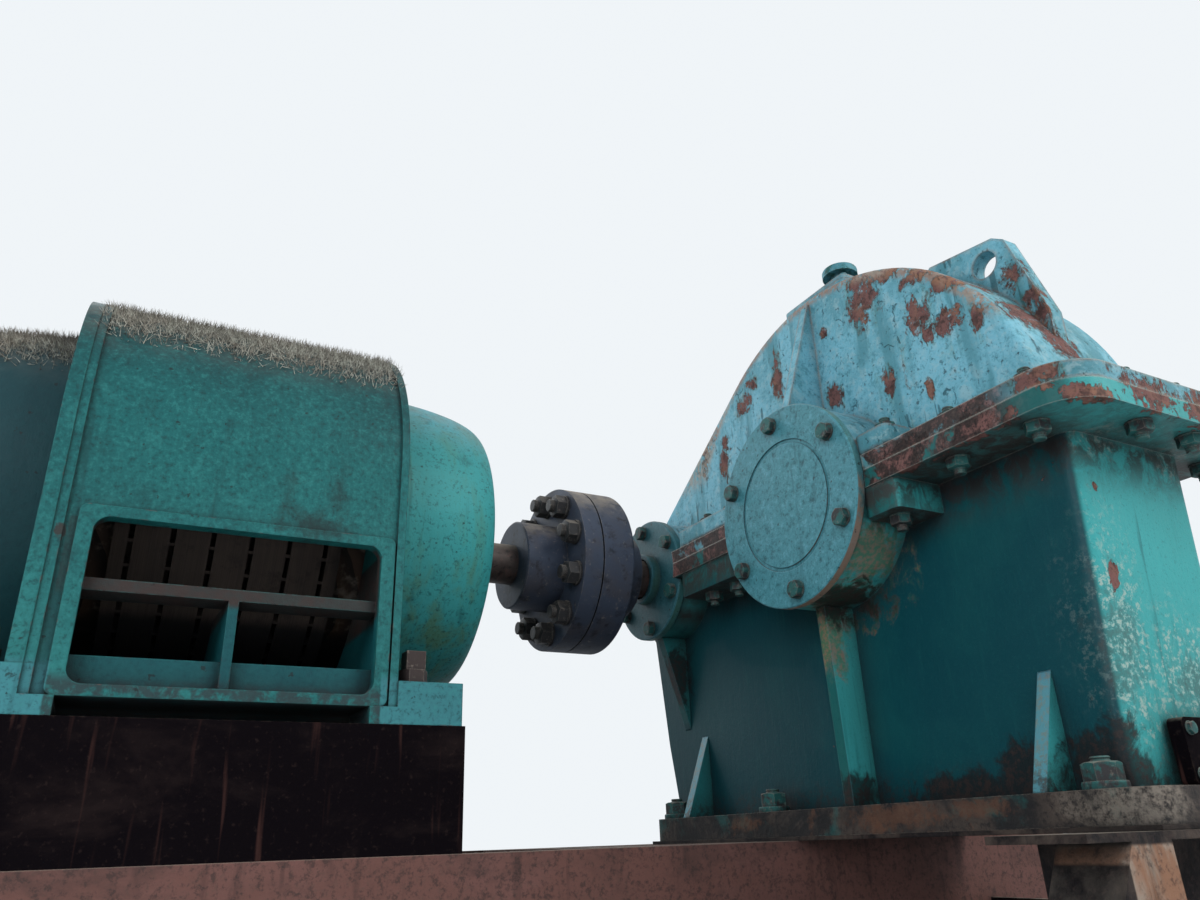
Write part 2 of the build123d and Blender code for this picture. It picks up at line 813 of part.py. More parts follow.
def housing_bosses():
    """Bearing bosses of both shafts, right through the housing."""
    with BuildPart() as bosses:
        with BuildSketch(across_output(boss_face_x)):
            Circle(output_boss_radius)
        extrude(amount=2 * (reducer_mid_x - boss_face_x))
        with BuildSketch(across_shaft(input_boss_face_x)):
            Circle(input_boss_radius)
        extrude(amount=2 * (reducer_mid_x - input_boss_face_x))
    return bosses.part


def shaft_bores():
    """Bearing seats of both shafts, right through the housing."""
    with BuildPart() as bores:
        with BuildSketch(across_output(0)):
            Circle(output_seat_radius + running_clearance)
        extrude(amount=2 * reducer_mid_x)
        with BuildSketch(across_shaft(0)):
            Circle(shaft_radius + running_clearance)
        extrude(amount=2 * reducer_mid_x)
    return bores.part


def cap_pockets():
    """Room for the bearing caps, cut from the flange and its blocks on both sides."""
    with BuildPart() as pockets:
        with BuildSketch(across_output(0)):
            Circle(output_cap_radius + cap_room)
        extrude(amount=boss_face_x)
        with BuildSketch(across_shaft(0)):
            Circle(input_cap_radius + cap_room)
        extrude(amount=input_boss_face_x)
        mirror(pockets.part, about=reducer_middle)
    return pockets.part


def flange_plan(z, thick):
    """Flange that runs round the housing, from a height and as thick as given."""
    with BuildPart() as flange:
        with BuildSketch(level(z)):
            with Locations((reducer_mid_x, (flange_far - flange_near) / 2)):
                RectangleRounded(2 * flange_half, flange_far + flange_near, flange_corner)
        extrude(amount=thick)
    return flange.part


def bolt_blocks(z, height):
    """Thick blocks beside the bearings, on both sides of the housing."""
    with BuildPart() as blocks:
        for near, far in (
            (-middle_block_near, -middle_block_far),
            (-near_block_near, -near_block_far),
        ):
            with BuildSketch(level(z)):
                with Locations((reducer_mid_x, (near + far) / 2)):
                    RectangleRounded(2 * (reducer_mid_x - boss_face_x), far - near, block_corner)
            extrude(amount=height)
    return blocks.part


def both_sides(web):
    """Keep a web and its mirror image on the other side of the housing."""
    with BuildPart() as pair:
        add(web)
        mirror(web, about=reducer_middle)
    return pair.part


def web_plate(y, thick, points):
    """Upright web in the open part, square to the housing's side, through points in x and z."""
    with BuildPart() as web:
        with BuildSketch(along_y(y + thick / 2)):
            with BuildLine():
                Polyline(*points, close=True)
            make_face()
        extrude(amount=thick)
    return web.part


# Reducer base: sloped end walls, split flange, blocks and bosses, on a foot plate of its own
near_y = -centre_distance
with BuildPart() as reducer_base:
    knee_angle = math.radians(45)
    arc_end = (
        pinion_side_radius * math.cos(knee_angle),
        -pinion_side_radius * math.sin(knee_angle),
    )
    with BuildSketch(across_shaft(wall_x)):
        with BuildLine():
            CenterArc((0, 0), pinion_side_radius, 0, -45)
            Line(arc_end, (far_wall_knee, -far_knee_depth))
            Line((far_wall_knee, -far_knee_depth), (far_wall_foot, -foot_top_depth))
            Line((far_wall_foot, -foot_top_depth), (near_y - near_wall_foot, -foot_top_depth))
            Line((near_y - near_wall_foot, -foot_top_depth), (near_y - near_wall_top, 0))
            Line((near_y - near_wall_top, 0), (pinion_side_radius, 0))
        make_face()
    extrude(amount=housing_width)
    fillet(
        reducer_base.edges()
        .filter_by(lambda edge: edge.center().Y < near_y - near_wall_foot - 1)
        .filter_by(lambda edge: abs(edge.tangent_at(0).Z) > 0.5),
        radius=base_corner,
    )
    add(flange_plan(shaft_height - base_flange, base_flange))
    add(bolt_blocks(shaft_height - bolt_block_bottom, bolt_block_bottom))
    add(housing_bosses())
    split(bisect_by=shaft_level, keep=Keep.BOTTOM)
    add(shaft_bores(), mode=Mode.SUBTRACT)
    add(cap_pockets(), mode=Mode.SUBTRACT)
save(reducer_base, "reducer_base")

with BuildPart() as reducer_foot_plate:
    with BuildSketch(level(shaft_height - foot_bottom_depth)):
        with Locations((reducer_mid_x, (foot_far - foot_near) / 2)):
            RectangleRounded(2 * foot_half, foot_far + foot_near, foot_corner)
    extrude(amount=foot_plate_thick)
save(reducer_foot_plate, "reducer_foot_plate")

# Ribs of the base: one under each big boss and each small boss, gussets on the foot plate
rib_outlines = [
    (
        near_y,
        (
            (main_rib_face_x, -output_boss_radius / 2),
            (main_rib_foot_x, -foot_top_depth),
            (wall_x, -foot_top_depth),
            (wall_x, -output_boss_radius / 2),
        ),
    ),
    (
        0,
        (
            (pinion_gusset_x, -input_boss_radius / 2),
            (pinion_gusset_x, -input_boss_radius),
            (wall_x, -pinion_gusset_depth),
            (wall_x, -input_boss_radius / 2),
        ),
    ),
]
for place in foot_gusset_places:
    rib_outlines.append(
        (
            place,
            (
                (wall_x, -foot_gusset_depth),
                (foot_gusset_x, -foot_top_depth),
                (wall_x, -foot_top_depth),
            ),
        )
    )
with BuildPart() as reducer_base_ribs:
    for place, outline in rib_outlines:
        add(both_sides(web_plate(place, rib_thick, outline)))
    add(housing_bosses(), mode=Mode.SUBTRACT)
save(reducer_base_ribs, "reducer_base_ribs")


def lifting_lug(outline, hole_place):
    """Upright plate on the drum's crown with a lifting hole, from an outline in y and z."""
    with BuildPart() as lug:
        with BuildSketch(across_output(reducer_mid_x - lug_thick / 2)):
            with BuildLine():
                Polyline(*outline, close=True)
            make_face()
            with Locations(hole_place):
                Circle(lug_hole, mode=Mode.SUBTRACT)
        extrude(amount=lug_thick)
    return lug.part


# Reducer cover: drum over the wheel, sloped towards the pinion, flange, bosses, ribs, lugs
slope_angle = math.asin((drum_radius - pinion_side_radius) / centre_distance)
drum_end = (
    near_y + drum_radius * math.sin(slope_angle),
    drum_radius * math.cos(slope_angle),
)
pinion_end = (
    pinion_side_radius * math.sin(slope_angle),
    pinion_side_radius * math.cos(slope_angle),
)
slope_degrees = math.degrees(slope_angle)
with BuildPart() as reducer_cover:
    with BuildSketch(across_shaft(wall_x)):
        with BuildLine():
            CenterArc((near_y, 0), drum_radius, 180, -(90 + slope_degrees))
            Line(drum_end, pinion_end)
            CenterArc((0, 0), pinion_side_radius, 90 - slope_degrees, slope_degrees - 90)
            Line((pinion_side_radius, 0), (near_y - drum_radius, 0))
        make_face()
    extrude(amount=housing_width)
    fillet(
        reducer_cover.edges().filter_by(lambda edge: edge.center().Z > shaft_height + 1)
        .filter_by(lambda edge: abs(edge.center().X - reducer_mid_x) > housing_width / 2 - 1),
        radius=drum_edge,
    )
    add(flange_plan(shaft_height, cover_flange))
    add(bolt_blocks(shaft_height, bolt_block_top))
    add(housing_bosses())
    with BuildSketch(level(shaft_height + drum_radius - inspection_frame)):
        with Locations((reducer_mid_x, near_y)):
            RectangleRounded(inspection_width, inspection_length, inspection_corner)
    extrude(amount=inspection_frame + inspection_rise)
    add(
        both_sides(
            web_plate(
                near_y,
                rib_thick,
                (
                    (cover_rib_face_x, output_boss_radius / 2),
                    (cover_rib_face_x, output_boss_radius),
                    (wall_x - cover_rib_lip, drum_radius - cover_rib_drop),
                    (wall_x + drum_edge, drum_radius - cover_rib_drop),
                    (wall_x + drum_edge, output_boss_radius / 2),
                ),
            )
        )
    )
    add(lifting_lug(lug_outline, lug_hole_place))
    add(lifting_lug(far_lug_outline, far_lug_hole_place))
    split(bisect_by=shaft_level, keep=Keep.TOP)
    add(shaft_bores(), mode=Mode.SUBTRACT)
    add(cap_pockets(), mode=Mode.SUBTRACT)
save(reducer_cover, "reducer_cover")


def cap_disc(plane_of, face_x, thick, radius, hole):
    """Bearing cap as a chamfered disc, with a hole for the shaft if one passes."""
    with BuildPart() as disc:
        with BuildSketch(plane_of(face_x)):
            Circle(radius)
        extrude(amount=thick)
        chamfer(disc.edges().filter_by(GeomType.CIRCLE), length=cap_chamfer)
        if hole > 0:
            with BuildSketch(plane_of(face_x)):
                Circle(hole)
            extrude(amount=thick, mode=Mode.SUBTRACT)
    return disc.part


# Bearing caps: blind and open ones of both shafts
with BuildPart() as output_cap_blind:
    add(cap_disc(across_output, boss_face_x - output_cap_thick, output_cap_thick, output_cap_radius, 0))
    with BuildSketch(across_output(boss_face_x - output_cap_thick)):
        Circle(output_cap_recess_radius)
        Circle(output_cap_recess_radius - cap_groove, mode=Mode.SUBTRACT)
    extrude(amount=output_cap_recess, mode=Mode.SUBTRACT)
save(output_cap_blind, "output_cap_blind")

with BuildPart() as output_cap_open:
    add(
        cap_disc(
            across_output,
            output_cap_back_x - output_cap_thick,
            output_cap_thick,
            output_cap_radius,
            output_seat_radius + seal_clearance,
        )
    )
save(output_cap_open, "output_cap_open")

input_cap_face_x = input_boss_face_x - input_cap_thick
with BuildPart() as input_cap_open:
    add(
        cap_disc(
            across_shaft,
            input_cap_face_x,
            input_cap_thick,
            input_cap_radius,
            shaft_radius + seal_clearance,
        )
    )
    with BuildSketch(across_shaft(input_cap_face_x - seal_boss_length)):
        Circle(seal_boss_radius)
        Circle(shaft_radius + seal_clearance, mode=Mode.SUBTRACT)
    extrude(amount=seal_boss_length)
    chamfer(input_cap_open.faces().sort_by(Axis.X)[0].outer_wire().edges(), length=cap_chamfer)
save(input_cap_open, "input_cap_open")

with BuildPart() as input_cap_blind:
    add(cap_disc(across_shaft, input_far_x, input_cap_thick, input_cap_radius, 0))
save(input_cap_blind, "input_cap_blind")

# Bolts of the caps, heads only, each on its cap's face
with BuildPart() as reducer_cap_bolts:
    for plane_of, face_x, circle in (
        (across_output, boss_face_x - output_cap_thick - cap_bolt_head_thick, output_cap_circle),
        (across_output, output_cap_back_x, output_cap_circle),
        (across_shaft, input_cap_face_x - cap_bolt_head_thick, input_cap_circle),
        (across_shaft, input_far_x + input_cap_thick, input_cap_circle),
    ):
        with BuildSketch(plane_of(face_x)):
            with PolarLocations(circle, cap_bolt_count, start_angle=cap_bolt_phase):
                RegularPolygon(cap_bolt_head / 2, 6, major_radius=False)
        extrude(amount=cap_bolt_head_thick)
save(reducer_cap_bolts, "reducer_cap_bolts")


def nuts_on_face(places, face_z, size, thick, stud, tail, side):
    """Hexagon nuts with stud tails on a level face; side is 1 above the face and -1 below it."""
    with BuildPart() as nuts:
        with BuildSketch(level(face_z)):
            with Locations(*places):
                RegularPolygon(size / 2, 6, major_radius=False)
        extrude(amount=side * thick)
        with BuildSketch(level(face_z)):
            with Locations(*places):
                Circle(stud)
        extrude(amount=side * (thick + tail))
    return nuts.part


# Bolts of the split line: nuts under the base flange and over the cover flange
bolt_row_x = flange_half - split_edge
flange_rows_y = [row - flange_near for row in flange_bolt_rows]
flange_rows_y.append(flange_far - flange_bolt_far)
flange_places = [
    (reducer_mid_x + side * bolt_row_x, y) for side in (-1, 1) for y in flange_rows_y
]
flange_places += [
    (reducer_mid_x + side * end_bolt_half_pitch, split_edge_near - flange_near) for side in (-1, 1)
]
block_places = [
    (reducer_mid_x + side * bolt_row_x, -y) for side in (-1, 1) for y in block_bolt_rows
]
with BuildPart() as reducer_split_bolts:
    for places, under, over in (
        (flange_places, base_flange, cover_flange),
        (block_places, bolt_block_bottom, bolt_block_top),
    ):
        for face_z, side in ((shaft_height - under, -1), (shaft_height + over, 1)):
            add(
                nuts_on_face(
                    places, face_z, split_nut, split_nut_thick, split_bolt_radius, split_tail, side
                )
            )
save(reducer_split_bolts, "reducer_split_bolts")

# Bolts of the reducer's foot and of the motor's feet
foot_bolt_offset = reducer_mid_x - foot_bolt_x
reducer_foot_places = [
    (reducer_mid_x + side * foot_bolt_offset, y) for side in (-1, 1) for y in foot_bolt_places
]
with BuildPart() as reducer_foot_bolts:
    add(
        nuts_on_face(
            reducer_foot_places,
            shaft_height - foot_top_depth,
            foot_nut,
            foot_nut_thick,
            foot_stud_radius,
            foot_stud_tail,
            1,
        )
    )
save(reducer_foot_bolts, "reducer_foot_bolts")

rear_bolt_x = frame_rear_x - collar_length - motor_bolt_setting
front_bolt_x = frame_front_x + motor_bolt_setting
motor_bolt_y = foot_half_width - motor_bolt_setting
motor_foot_places = [
    (bolt_x, side * motor_bolt_y) for bolt_x in (rear_bolt_x, front_bolt_x) for side in (-1, 1)
]
with BuildPart() as motor_foot_bolts:
    with BuildSketch(level(pedestal_top + foot_thick)):
        with Locations(*motor_foot_places):
            RegularPolygon(motor_nut / 2, 6, major_radius=False)
    extrude(amount=motor_nut_thick)
    with BuildSketch(level(pedestal_top + foot_thick + motor_nut_thick)):
        with Locations(*motor_foot_places):
            Rectangle(motor_bolt_head, motor_bolt_head)
    extrude(amount=motor_bolt_head_thick)
save(motor_foot_bolts, "motor_foot_bolts")

# Shim plate between the reducer's foot and the steel that carries it
with BuildPart() as reducer_shim:
    with BuildSketch(level(bed_top)):
        with Locations((reducer_mid_x, (foot_far - foot_near) / 2)):
            Rectangle(2 * foot_half, foot_far + foot_near)
    extrude(amount=shaft_height - foot_bottom_depth - bed_top)
save(reducer_shim, "reducer_shim")

# Inspection cover on the drum's crown, with its frame and breather
crown_top = shaft_height + drum_radius + inspection_rise
with BuildPart() as inspection_cover:
    with BuildSketch(level(crown_top)):
        with Locations((reducer_mid_x, near_y)):
            RectangleRounded(inspection_width, inspection_length, inspection_corner)
    extrude(amount=inspection_plate)
save(inspection_cover, "inspection_cover")

with BuildPart() as breather:
    with BuildSketch(level(crown_top + inspection_plate)):
        with Locations(breather_place):
            Circle(breather_stem)
    extrude(amount=breather_height)
    with BuildSketch(level(crown_top + inspection_plate + breather_height / 2)):
        with Locations(breather_place):
            Circle(breather_radius)
    extrude(amount=breather_height / 2)
    fillet(breather.edges().group_by(Axis.Z)[-1], radius=breather_round)
save(breather, "breather")

# Cleaning cover on the near end wall
with BuildPart() as cleaning_cover:
    with BuildSketch(along_y(near_y - near_wall_top)):
        with Locations((reducer_mid_x, -foot_top_depth + cleaning_height / 2)):
            RectangleRounded(cleaning_width, cleaning_height, cleaning_corner)
    extrude(amount=-(near_wall_top - near_wall_foot) + cleaning_proud)
save(cleaning_cover, "cleaning_cover")


def on_far_wall(height):
    """Plane on the base's leaning far wall, some height above the foot plate, facing outwards."""
    lean = (far_wall_knee - far_wall_foot) / far_knee_height
    wall_y = far_wall_foot + height * lean
    origin = (reducer_mid_x, wall_y, shaft_height - foot_top_depth + height)
    return Plane(origin=origin, x_dir=(1, 0, 0), z_dir=(0, 1, -lean))


# Oil fittings of the far wall: level gauge with a sunk glass, drain plug with a hexagon
with BuildPart() as oil_fittings:
    with BuildSketch(on_far_wall(gauge_height)):
        Circle(gauge_radius)
    extrude(amount=gauge_thick)
    with BuildSketch(on_far_wall(gauge_height).offset(gauge_thick - gauge_recess)):
        Circle(gauge_glass_radius)
    extrude(amount=gauge_recess, mode=Mode.SUBTRACT)
    with BuildSketch(on_far_wall(drain_height)):
        Circle(drain_collar_radius)
    extrude(amount=drain_collar_thick)
    with BuildSketch(on_far_wall(drain_height).offset(drain_collar_thick)):
        RegularPolygon(drain_hexagon / 2, 6, major_radius=False)
    extrude(amount=drain_hexagon_thick)
save(oil_fittings, "oil_fittings")
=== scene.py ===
import json
import math

import bmesh
import bpy
from mathutils import Matrix, Vector


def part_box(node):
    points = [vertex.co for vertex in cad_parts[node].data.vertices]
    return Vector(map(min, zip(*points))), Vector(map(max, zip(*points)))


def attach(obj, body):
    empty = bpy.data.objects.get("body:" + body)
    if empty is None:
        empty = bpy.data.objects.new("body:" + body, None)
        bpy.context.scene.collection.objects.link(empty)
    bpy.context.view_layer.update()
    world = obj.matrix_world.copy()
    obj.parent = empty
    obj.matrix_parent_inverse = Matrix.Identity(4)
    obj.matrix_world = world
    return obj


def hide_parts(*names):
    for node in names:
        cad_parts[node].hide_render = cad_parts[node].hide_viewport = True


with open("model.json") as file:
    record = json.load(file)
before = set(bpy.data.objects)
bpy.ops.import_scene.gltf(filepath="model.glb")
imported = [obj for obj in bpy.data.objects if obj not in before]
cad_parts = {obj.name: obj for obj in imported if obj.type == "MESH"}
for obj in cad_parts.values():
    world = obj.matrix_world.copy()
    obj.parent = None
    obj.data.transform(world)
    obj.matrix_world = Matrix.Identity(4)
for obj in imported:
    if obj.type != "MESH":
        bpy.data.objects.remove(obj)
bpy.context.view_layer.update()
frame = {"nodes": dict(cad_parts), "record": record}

bl_info = {
    "name": "Ball mill drive unit",
    "version": (1, 0, 0),
    "blender": (4, 5, 0),
    "location": "3D View > Sidebar > Mill drive",
    "description": "Finishes, fasteners, core spacers, crown dust and stage for a mill's drive",
    "category": "Object",
}

SHAFT_HEIGHT = 1.125
OUTPUT_Y = -0.7
REDUCER_MID_X = 0.553
MOTOR_MID_X = -0.932
# The camera fitted to the photograph, in metres, degrees and millimetres; roll in radians
CAMERA_PLACE = (-1.1230, -2.2696, 0.4115)
CAMERA_YAW = 28.76
CAMERA_PITCH = 23.24
CAMERA_ROLL = 0.0352
CAMERA_LENS = 27.3645
FLOOR_REACH = 60.0
FLOOR_LEVEL = -0.002


# Sizes and colours that a user would change
def colour(name, about, default):
    return bpy.props.FloatVectorProperty(
        name=name, description=about, subtype="COLOR", size=3, min=0, max=1, default=default
    )


def length(name, about, default):
    return bpy.props.FloatProperty(
        name=name, description=about, unit="LENGTH", min=0, default=default
    )


class DriveColours(bpy.types.PropertyGroup):
    """Colours of the paints, metals and dirt"""

    motor_teal: colour("Motor teal", "Thick paint on the motor", (0.004, 0.090, 0.092))
    # Dark teal for the motor's grain, and painted shade on its crown.
    motor_deep: colour("Motor deep teal", "Sooty paint near the crown", (0.003, 0.022, 0.026))
    # Pale teal for the motor's grain and worn edges, and painted light low on the motor.
    motor_light: colour("Motor light teal", "Paler paint low on the motor", (0.036, 0.225, 0.215))
    olive: colour("Olive", "Oil-stained green on the bells", (0.075, 0.150, 0.070))
    cover_pale: colour("Cover pale", "Faded paint on the reducer's cover", (0.160, 0.420, 0.520))
    cover_green: colour("Cover green", "Less faded paint on the cover", (0.058, 0.215, 0.260))
    cap_blue: colour("Cap blue", "Paint of the bearing caps", (0.050, 0.205, 0.240))
    # Painted light: the base's teal as lit, on its end walls and on the motor's drive-end bell.
    base_end: colour("Base end wall", "Bright paint on the base's end walls", (0.045, 0.330, 0.335))
    base_teal: colour("Base teal", "Paint on the ribs of the base", (0.012, 0.110, 0.105))
    # Dark teal for grain, drips and cracks, and painted shade on the base's sides, the motor's
    # crown, window and rear bell, and the caps.
    base_deep: colour("Base deep teal", "Oily paint on the base's sides", (0.002, 0.047, 0.060))
    rust_red: colour("Rust red", "Old rust under flaked paint", (0.165, 0.078, 0.070))
    rust_orange: colour("Rust orange", "Fresh rust", (0.270, 0.140, 0.085))
    foot_rust: colour("Foot rust", "Rust on the reducer's foot plate", (0.120, 0.052, 0.028))
    umber: colour("Umber", "Dark scale of old rust", (0.034, 0.022, 0.020))
    bed_brown: colour("Bed brown", "Red-brown steel of the bed", (0.125, 0.056, 0.046))
    pedestal_black: colour("Pedestal black", "Oily steel under the motor", (0.003, 0.002, 0.003))
    plate_brown: colour("Plate brown", "Dusty steel under the reducer", (0.070, 0.052, 0.042))
    dust: colour("Dust", "Ore dust on top of everything", (0.330, 0.285, 0.235))
    lime: colour("Lime", "White bloom on old paint", (0.520, 0.520, 0.450))
    # Dark oil and dirt, and painted shade in corners and hollows.
    grime_and_shade: colour("Grime", "Oil and dirt in the corners", (0.009, 0.009, 0.010))
    iron: colour("Iron", "Turned iron of the coupling", (0.040, 0.052, 0.080))
    shaft: colour("Shaft", "Old turned shaft steel", (0.070, 0.055, 0.050))
    bolt: colour("Bolt", "Dark fasteners", (0.026, 0.026, 0.028))
    plates: colour("Core plates", "Varnished core plates", (0.052, 0.040, 0.034))
    tape: colour("Winding tape", "Varnished tape on the windings", (0.060, 0.036, 0.024))


class DriveSizes(bpy.types.PropertyGroup):
    """Sizes of the small pieces that the scene adds"""

    edge_round: length("Edge round", "Soft edge of the castings", 0.004)
    spacer_thick: length("Spacer thickness", "Spacer between the core's packs", 0.006)
    bristle_length: length("Bristle length", "Longest bristle of dust on the crown", 0.030)
    bristle_width: length("Bristle width", "Foot of a bristle of dust", 0.0013)
    washer_thick: length("Washer thickness", "Washer under the reducer's nuts", 0.003)
    screw_flats: length("Screw width", "Hexagon of the small screws, across flats", 0.019)


# Shader nodes written as arithmetic
class Wire:
    """An output socket that takes part in Python arithmetic."""

    def __init__(self, finish, socket):
        self.finish = finish
        self.socket = socket

    def worked(self, operation, *values):
        return self.finish.node("ShaderNodeMath", dict(enumerate(values)), operation=operation)

    def most(self, other):
        return self.worked("MAXIMUM", self, other)

    def least(self, other):
        return self.worked("MINIMUM", self, other)

    def step(self, low, high):
        """0 below low, 1 above high and a smooth rise between them."""
        return self.finish.node(
            "ShaderNodeMapRange",
            {"Value": self, "From Min": low, "From Max": high},
            interpolation_type="SMOOTHSTEP",
        )


def give_operator(sign, operation):
    """Let wires stand on either side of a sign of arithmetic."""
    setattr(Wire, f"__{sign}__", lambda self, other: self.worked(operation, self, other))
    setattr(Wire, f"__r{sign}__", lambda self, other: self.worked(operation, other, self))


for arithmetic in (("add", "ADD"), ("sub", "SUBTRACT"), ("mul", "MULTIPLY")):
    give_operator(*arithmetic)


class Finish:
    """A material with one Principled shader, its nodes and the coats laid on so far."""

    def __init__(self, name, metallic=0.0, coat=0.0, gloss=0.3):
        self.colours = bpy.context.scene.drive_colours
        self.rounded = {}
        self.base = None
        self.material = bpy.data.materials.new(name)
        self.material.use_nodes = True
        self.tree = self.material.node_tree
        self.tree.nodes.clear()
        self.shader = self.tree.nodes.new("ShaderNodeBsdfPrincipled")
        self.shader.inputs["Metallic"].default_value = metallic
        self.shader.inputs["Coat Weight"].default_value = coat
        self.shader.inputs["Specular IOR Level"].default_value = gloss
        surface = self.tree.nodes.new("ShaderNodeOutputMaterial")
        self.tree.links.new(self.shader.outputs[0], surface.inputs[0])
        self.place = self.node("ShaderNodeTexCoord", output="Object")
        axes = self.tree.nodes.new("ShaderNodeSeparateXYZ")
        self.join(self.place, axes.inputs[0])
        self.x, self.y, self.z = [Wire(self, socket) for socket in axes.outputs]
        self.facing = self.node("ShaderNodeNewGeometry", output="Normal")
        turned = self.tree.nodes.new("ShaderNodeSeparateXYZ")
        self.join(self.facing, turned.inputs[0])
        self.east, self.north, self.up = [Wire(self, socket) for socket in turned.outputs]

    def join(self, value, socket):
        if isinstance(value, str):
            value = getattr(self.colours, value)
        if isinstance(value, Wire):
            self.tree.links.new(value.socket, socket)
        elif hasattr(socket.default_value, "__len__") and len(socket.default_value) == 4:
            socket.default_value = (*tuple(value)[:3], 1)
        else:
            socket.default_value = value

    def node(self, kind, values=None, output=0, **settings):
        made = self.tree.nodes.new(kind)
        for name, value in settings.items():
            setattr(made, name, value)
        for name, value in (values or {}).items():
            self.join(value, made.inputs[name])
        return Wire(self, made.outputs[output])

    def vector(self, operation, *values, output=0):
        return self.node(
            "ShaderNodeVectorMath", dict(enumerate(values)), output=output, operation=operation
        )

    def stretched(self, stretch, shift=(0, 0, 0)):
        return self.vector("ADD", self.vector("MULTIPLY", self.place, stretch), shift)

    def noise(self, scale, detail=4, rough=0.55, bend=0.0, stretch=(1, 1, 1), shift=(0, 0, 0)):
        return self.node(
            "ShaderNodeTexNoise",
            {
                "Vector": self.stretched(stretch, shift),
                "Scale": scale,
                "Detail": detail,
                "Roughness": rough,
                "Distortion": bend,
            },
        )

    def cracks(self, scale, thin, stretch):
        """1 on thin bent cracks, 0 on the paint between them."""
        waves = {"Vector": self.place, "Scale": 14.0, "Detail": 4.0}
        bent = self.node("ShaderNodeTexNoise", waves, output=1)
        moved = self.vector("MULTIPLY_ADD", bent, (0.09, 0.09, 0.09), self.stretched(stretch))
        cells = {"Vector": moved, "Scale": scale}
        away = self.node("ShaderNodeTexVoronoi", cells, feature="DISTANCE_TO_EDGE")
        return away.step(thin, thin * 0.3)

    def mix(self, share, one, other):
        return self.node("ShaderNodeMix", {0: share, 6: one, 7: other}, output=2, data_type="RGBA")

    def lay(self, colour, value, low=None, high=None, much=1):
        """Cover the coats so far with a colour, as the value goes from low to high."""
        share = value if low is None else value.step(low, high)
        self.base = self.mix(share if much == 1 else share * much, self.base, colour)

    def soft_normal(self, radius):
        if radius not in self.rounded:
            self.rounded[radius] = self.node("ShaderNodeBevel", {"Radius": radius}, samples=3)
        return self.rounded[radius]

    def edges(self, radius):
        """1 along the edges of the casting, 0 on its faces."""
        even = self.vector("DOT_PRODUCT", self.soft_normal(radius), self.facing, output="Value")
        return (1 - even).step(0.015, 0.16)

    def corners(self, reach):
        """1 deep in the corners, 0 in the open; laid dark, it is dirt and painted shade in the
        corners.
        """
        open_share = self.node(
            "ShaderNodeAmbientOcclusion", {"Distance": reach}, output="AO", samples=3
        )
        return (1 - open_share).step(0.12, 0.75)

    def streaks(self, width, run, shift=0.0):
        """Runs that hang down the faces."""
        return self.noise(1.0, 3, 0.6, 0.3, (width, width, run), (shift, shift, shift))

    def spot(self, centre, reach):
        """1 at a place on the object, 0 where its reach along the axes ends, less beyond."""
        share = self.vector("DIVIDE", self.vector("SUBTRACT", self.place, centre), reach)
        return 1 - self.vector("LENGTH", share, output="Value")

    def spots(self, places):
        """The nearest of several spots."""
        found = [self.spot(place[:3], place[3:]) for place in places]
        nearest = found[0]
        for other in found[1:]:
            nearest = nearest.most(other)
        return nearest

    def band(self, value, low, high, soft=0.004):
        """1 between two coordinates."""
        return value.step(low - soft, low) * value.step(high + soft, high)

    def close(self, rough, relief, depth, radius=None):
        """Join the coats, the roughness and the relief to the shader."""
        bumped = {"Height": relief, "Strength": 1.0, "Distance": depth}
        if radius:
            bumped["Normal"] = self.soft_normal(radius)
        self.join(self.base, self.shader.inputs["Base Color"])
        self.join(rough, self.shader.inputs["Roughness"])
        self.join(self.node("ShaderNodeBump", bumped), self.shader.inputs["Normal"])
        return self.material


def rust_colour(finish, orange):
    """Red-brown rust with orange drifts, dark scale and grains."""
    drift = finish.noise(16, 5, 0.65, shift=(3, 1, 2))
    red = finish.mix(drift.step(0.48, 0.66) * orange, "rust_red", "rust_orange")
    scale = finish.noise(44, 6, 0.72, shift=(7, 2, 5))
    red = finish.mix(scale.step(0.46, 0.62) * 0.75, red, "umber")
    return finish.mix(finish.noise(130, 5, 0.7).step(0.50, 0.66) * 0.5, red, "grime_and_shade")


def flange_scale(finish, share):
    """Dark scaly rust over most of the flange's edge, with the last of the paint between."""
    wide = finish.noise(24, 7, 0.72, 0.4, shift=(2, 2, 9))
    brown = finish.mix(wide.step(0.48, 0.62), "umber", "rust_red")
    grains = finish.noise(130, 5, 0.72, shift=(5, 1, 2))
    brown = finish.mix(grains.step(0.48, 0.60) * 0.75, brown, "grime_and_shade")
    brown = finish.mix(grains.step(0.44, 0.36) * 0.5, brown, "plate_brown")
    left = finish.noise(8, 7, 0.7, 0.5, shift=(3, 8, 1)).step(0.60, 0.53)
    finish.lay(brown, share * left)


def dusted(finish, amount):
    """Dust that lies on the faces that look up."""
    patches = finish.noise(22, 6, 0.65, shift=(5, 0, 1))
    share = finish.up.step(0.35, 0.95) * patches.step(0.3, 0.62) * amount
    finish.lay("dust", share)
    return share


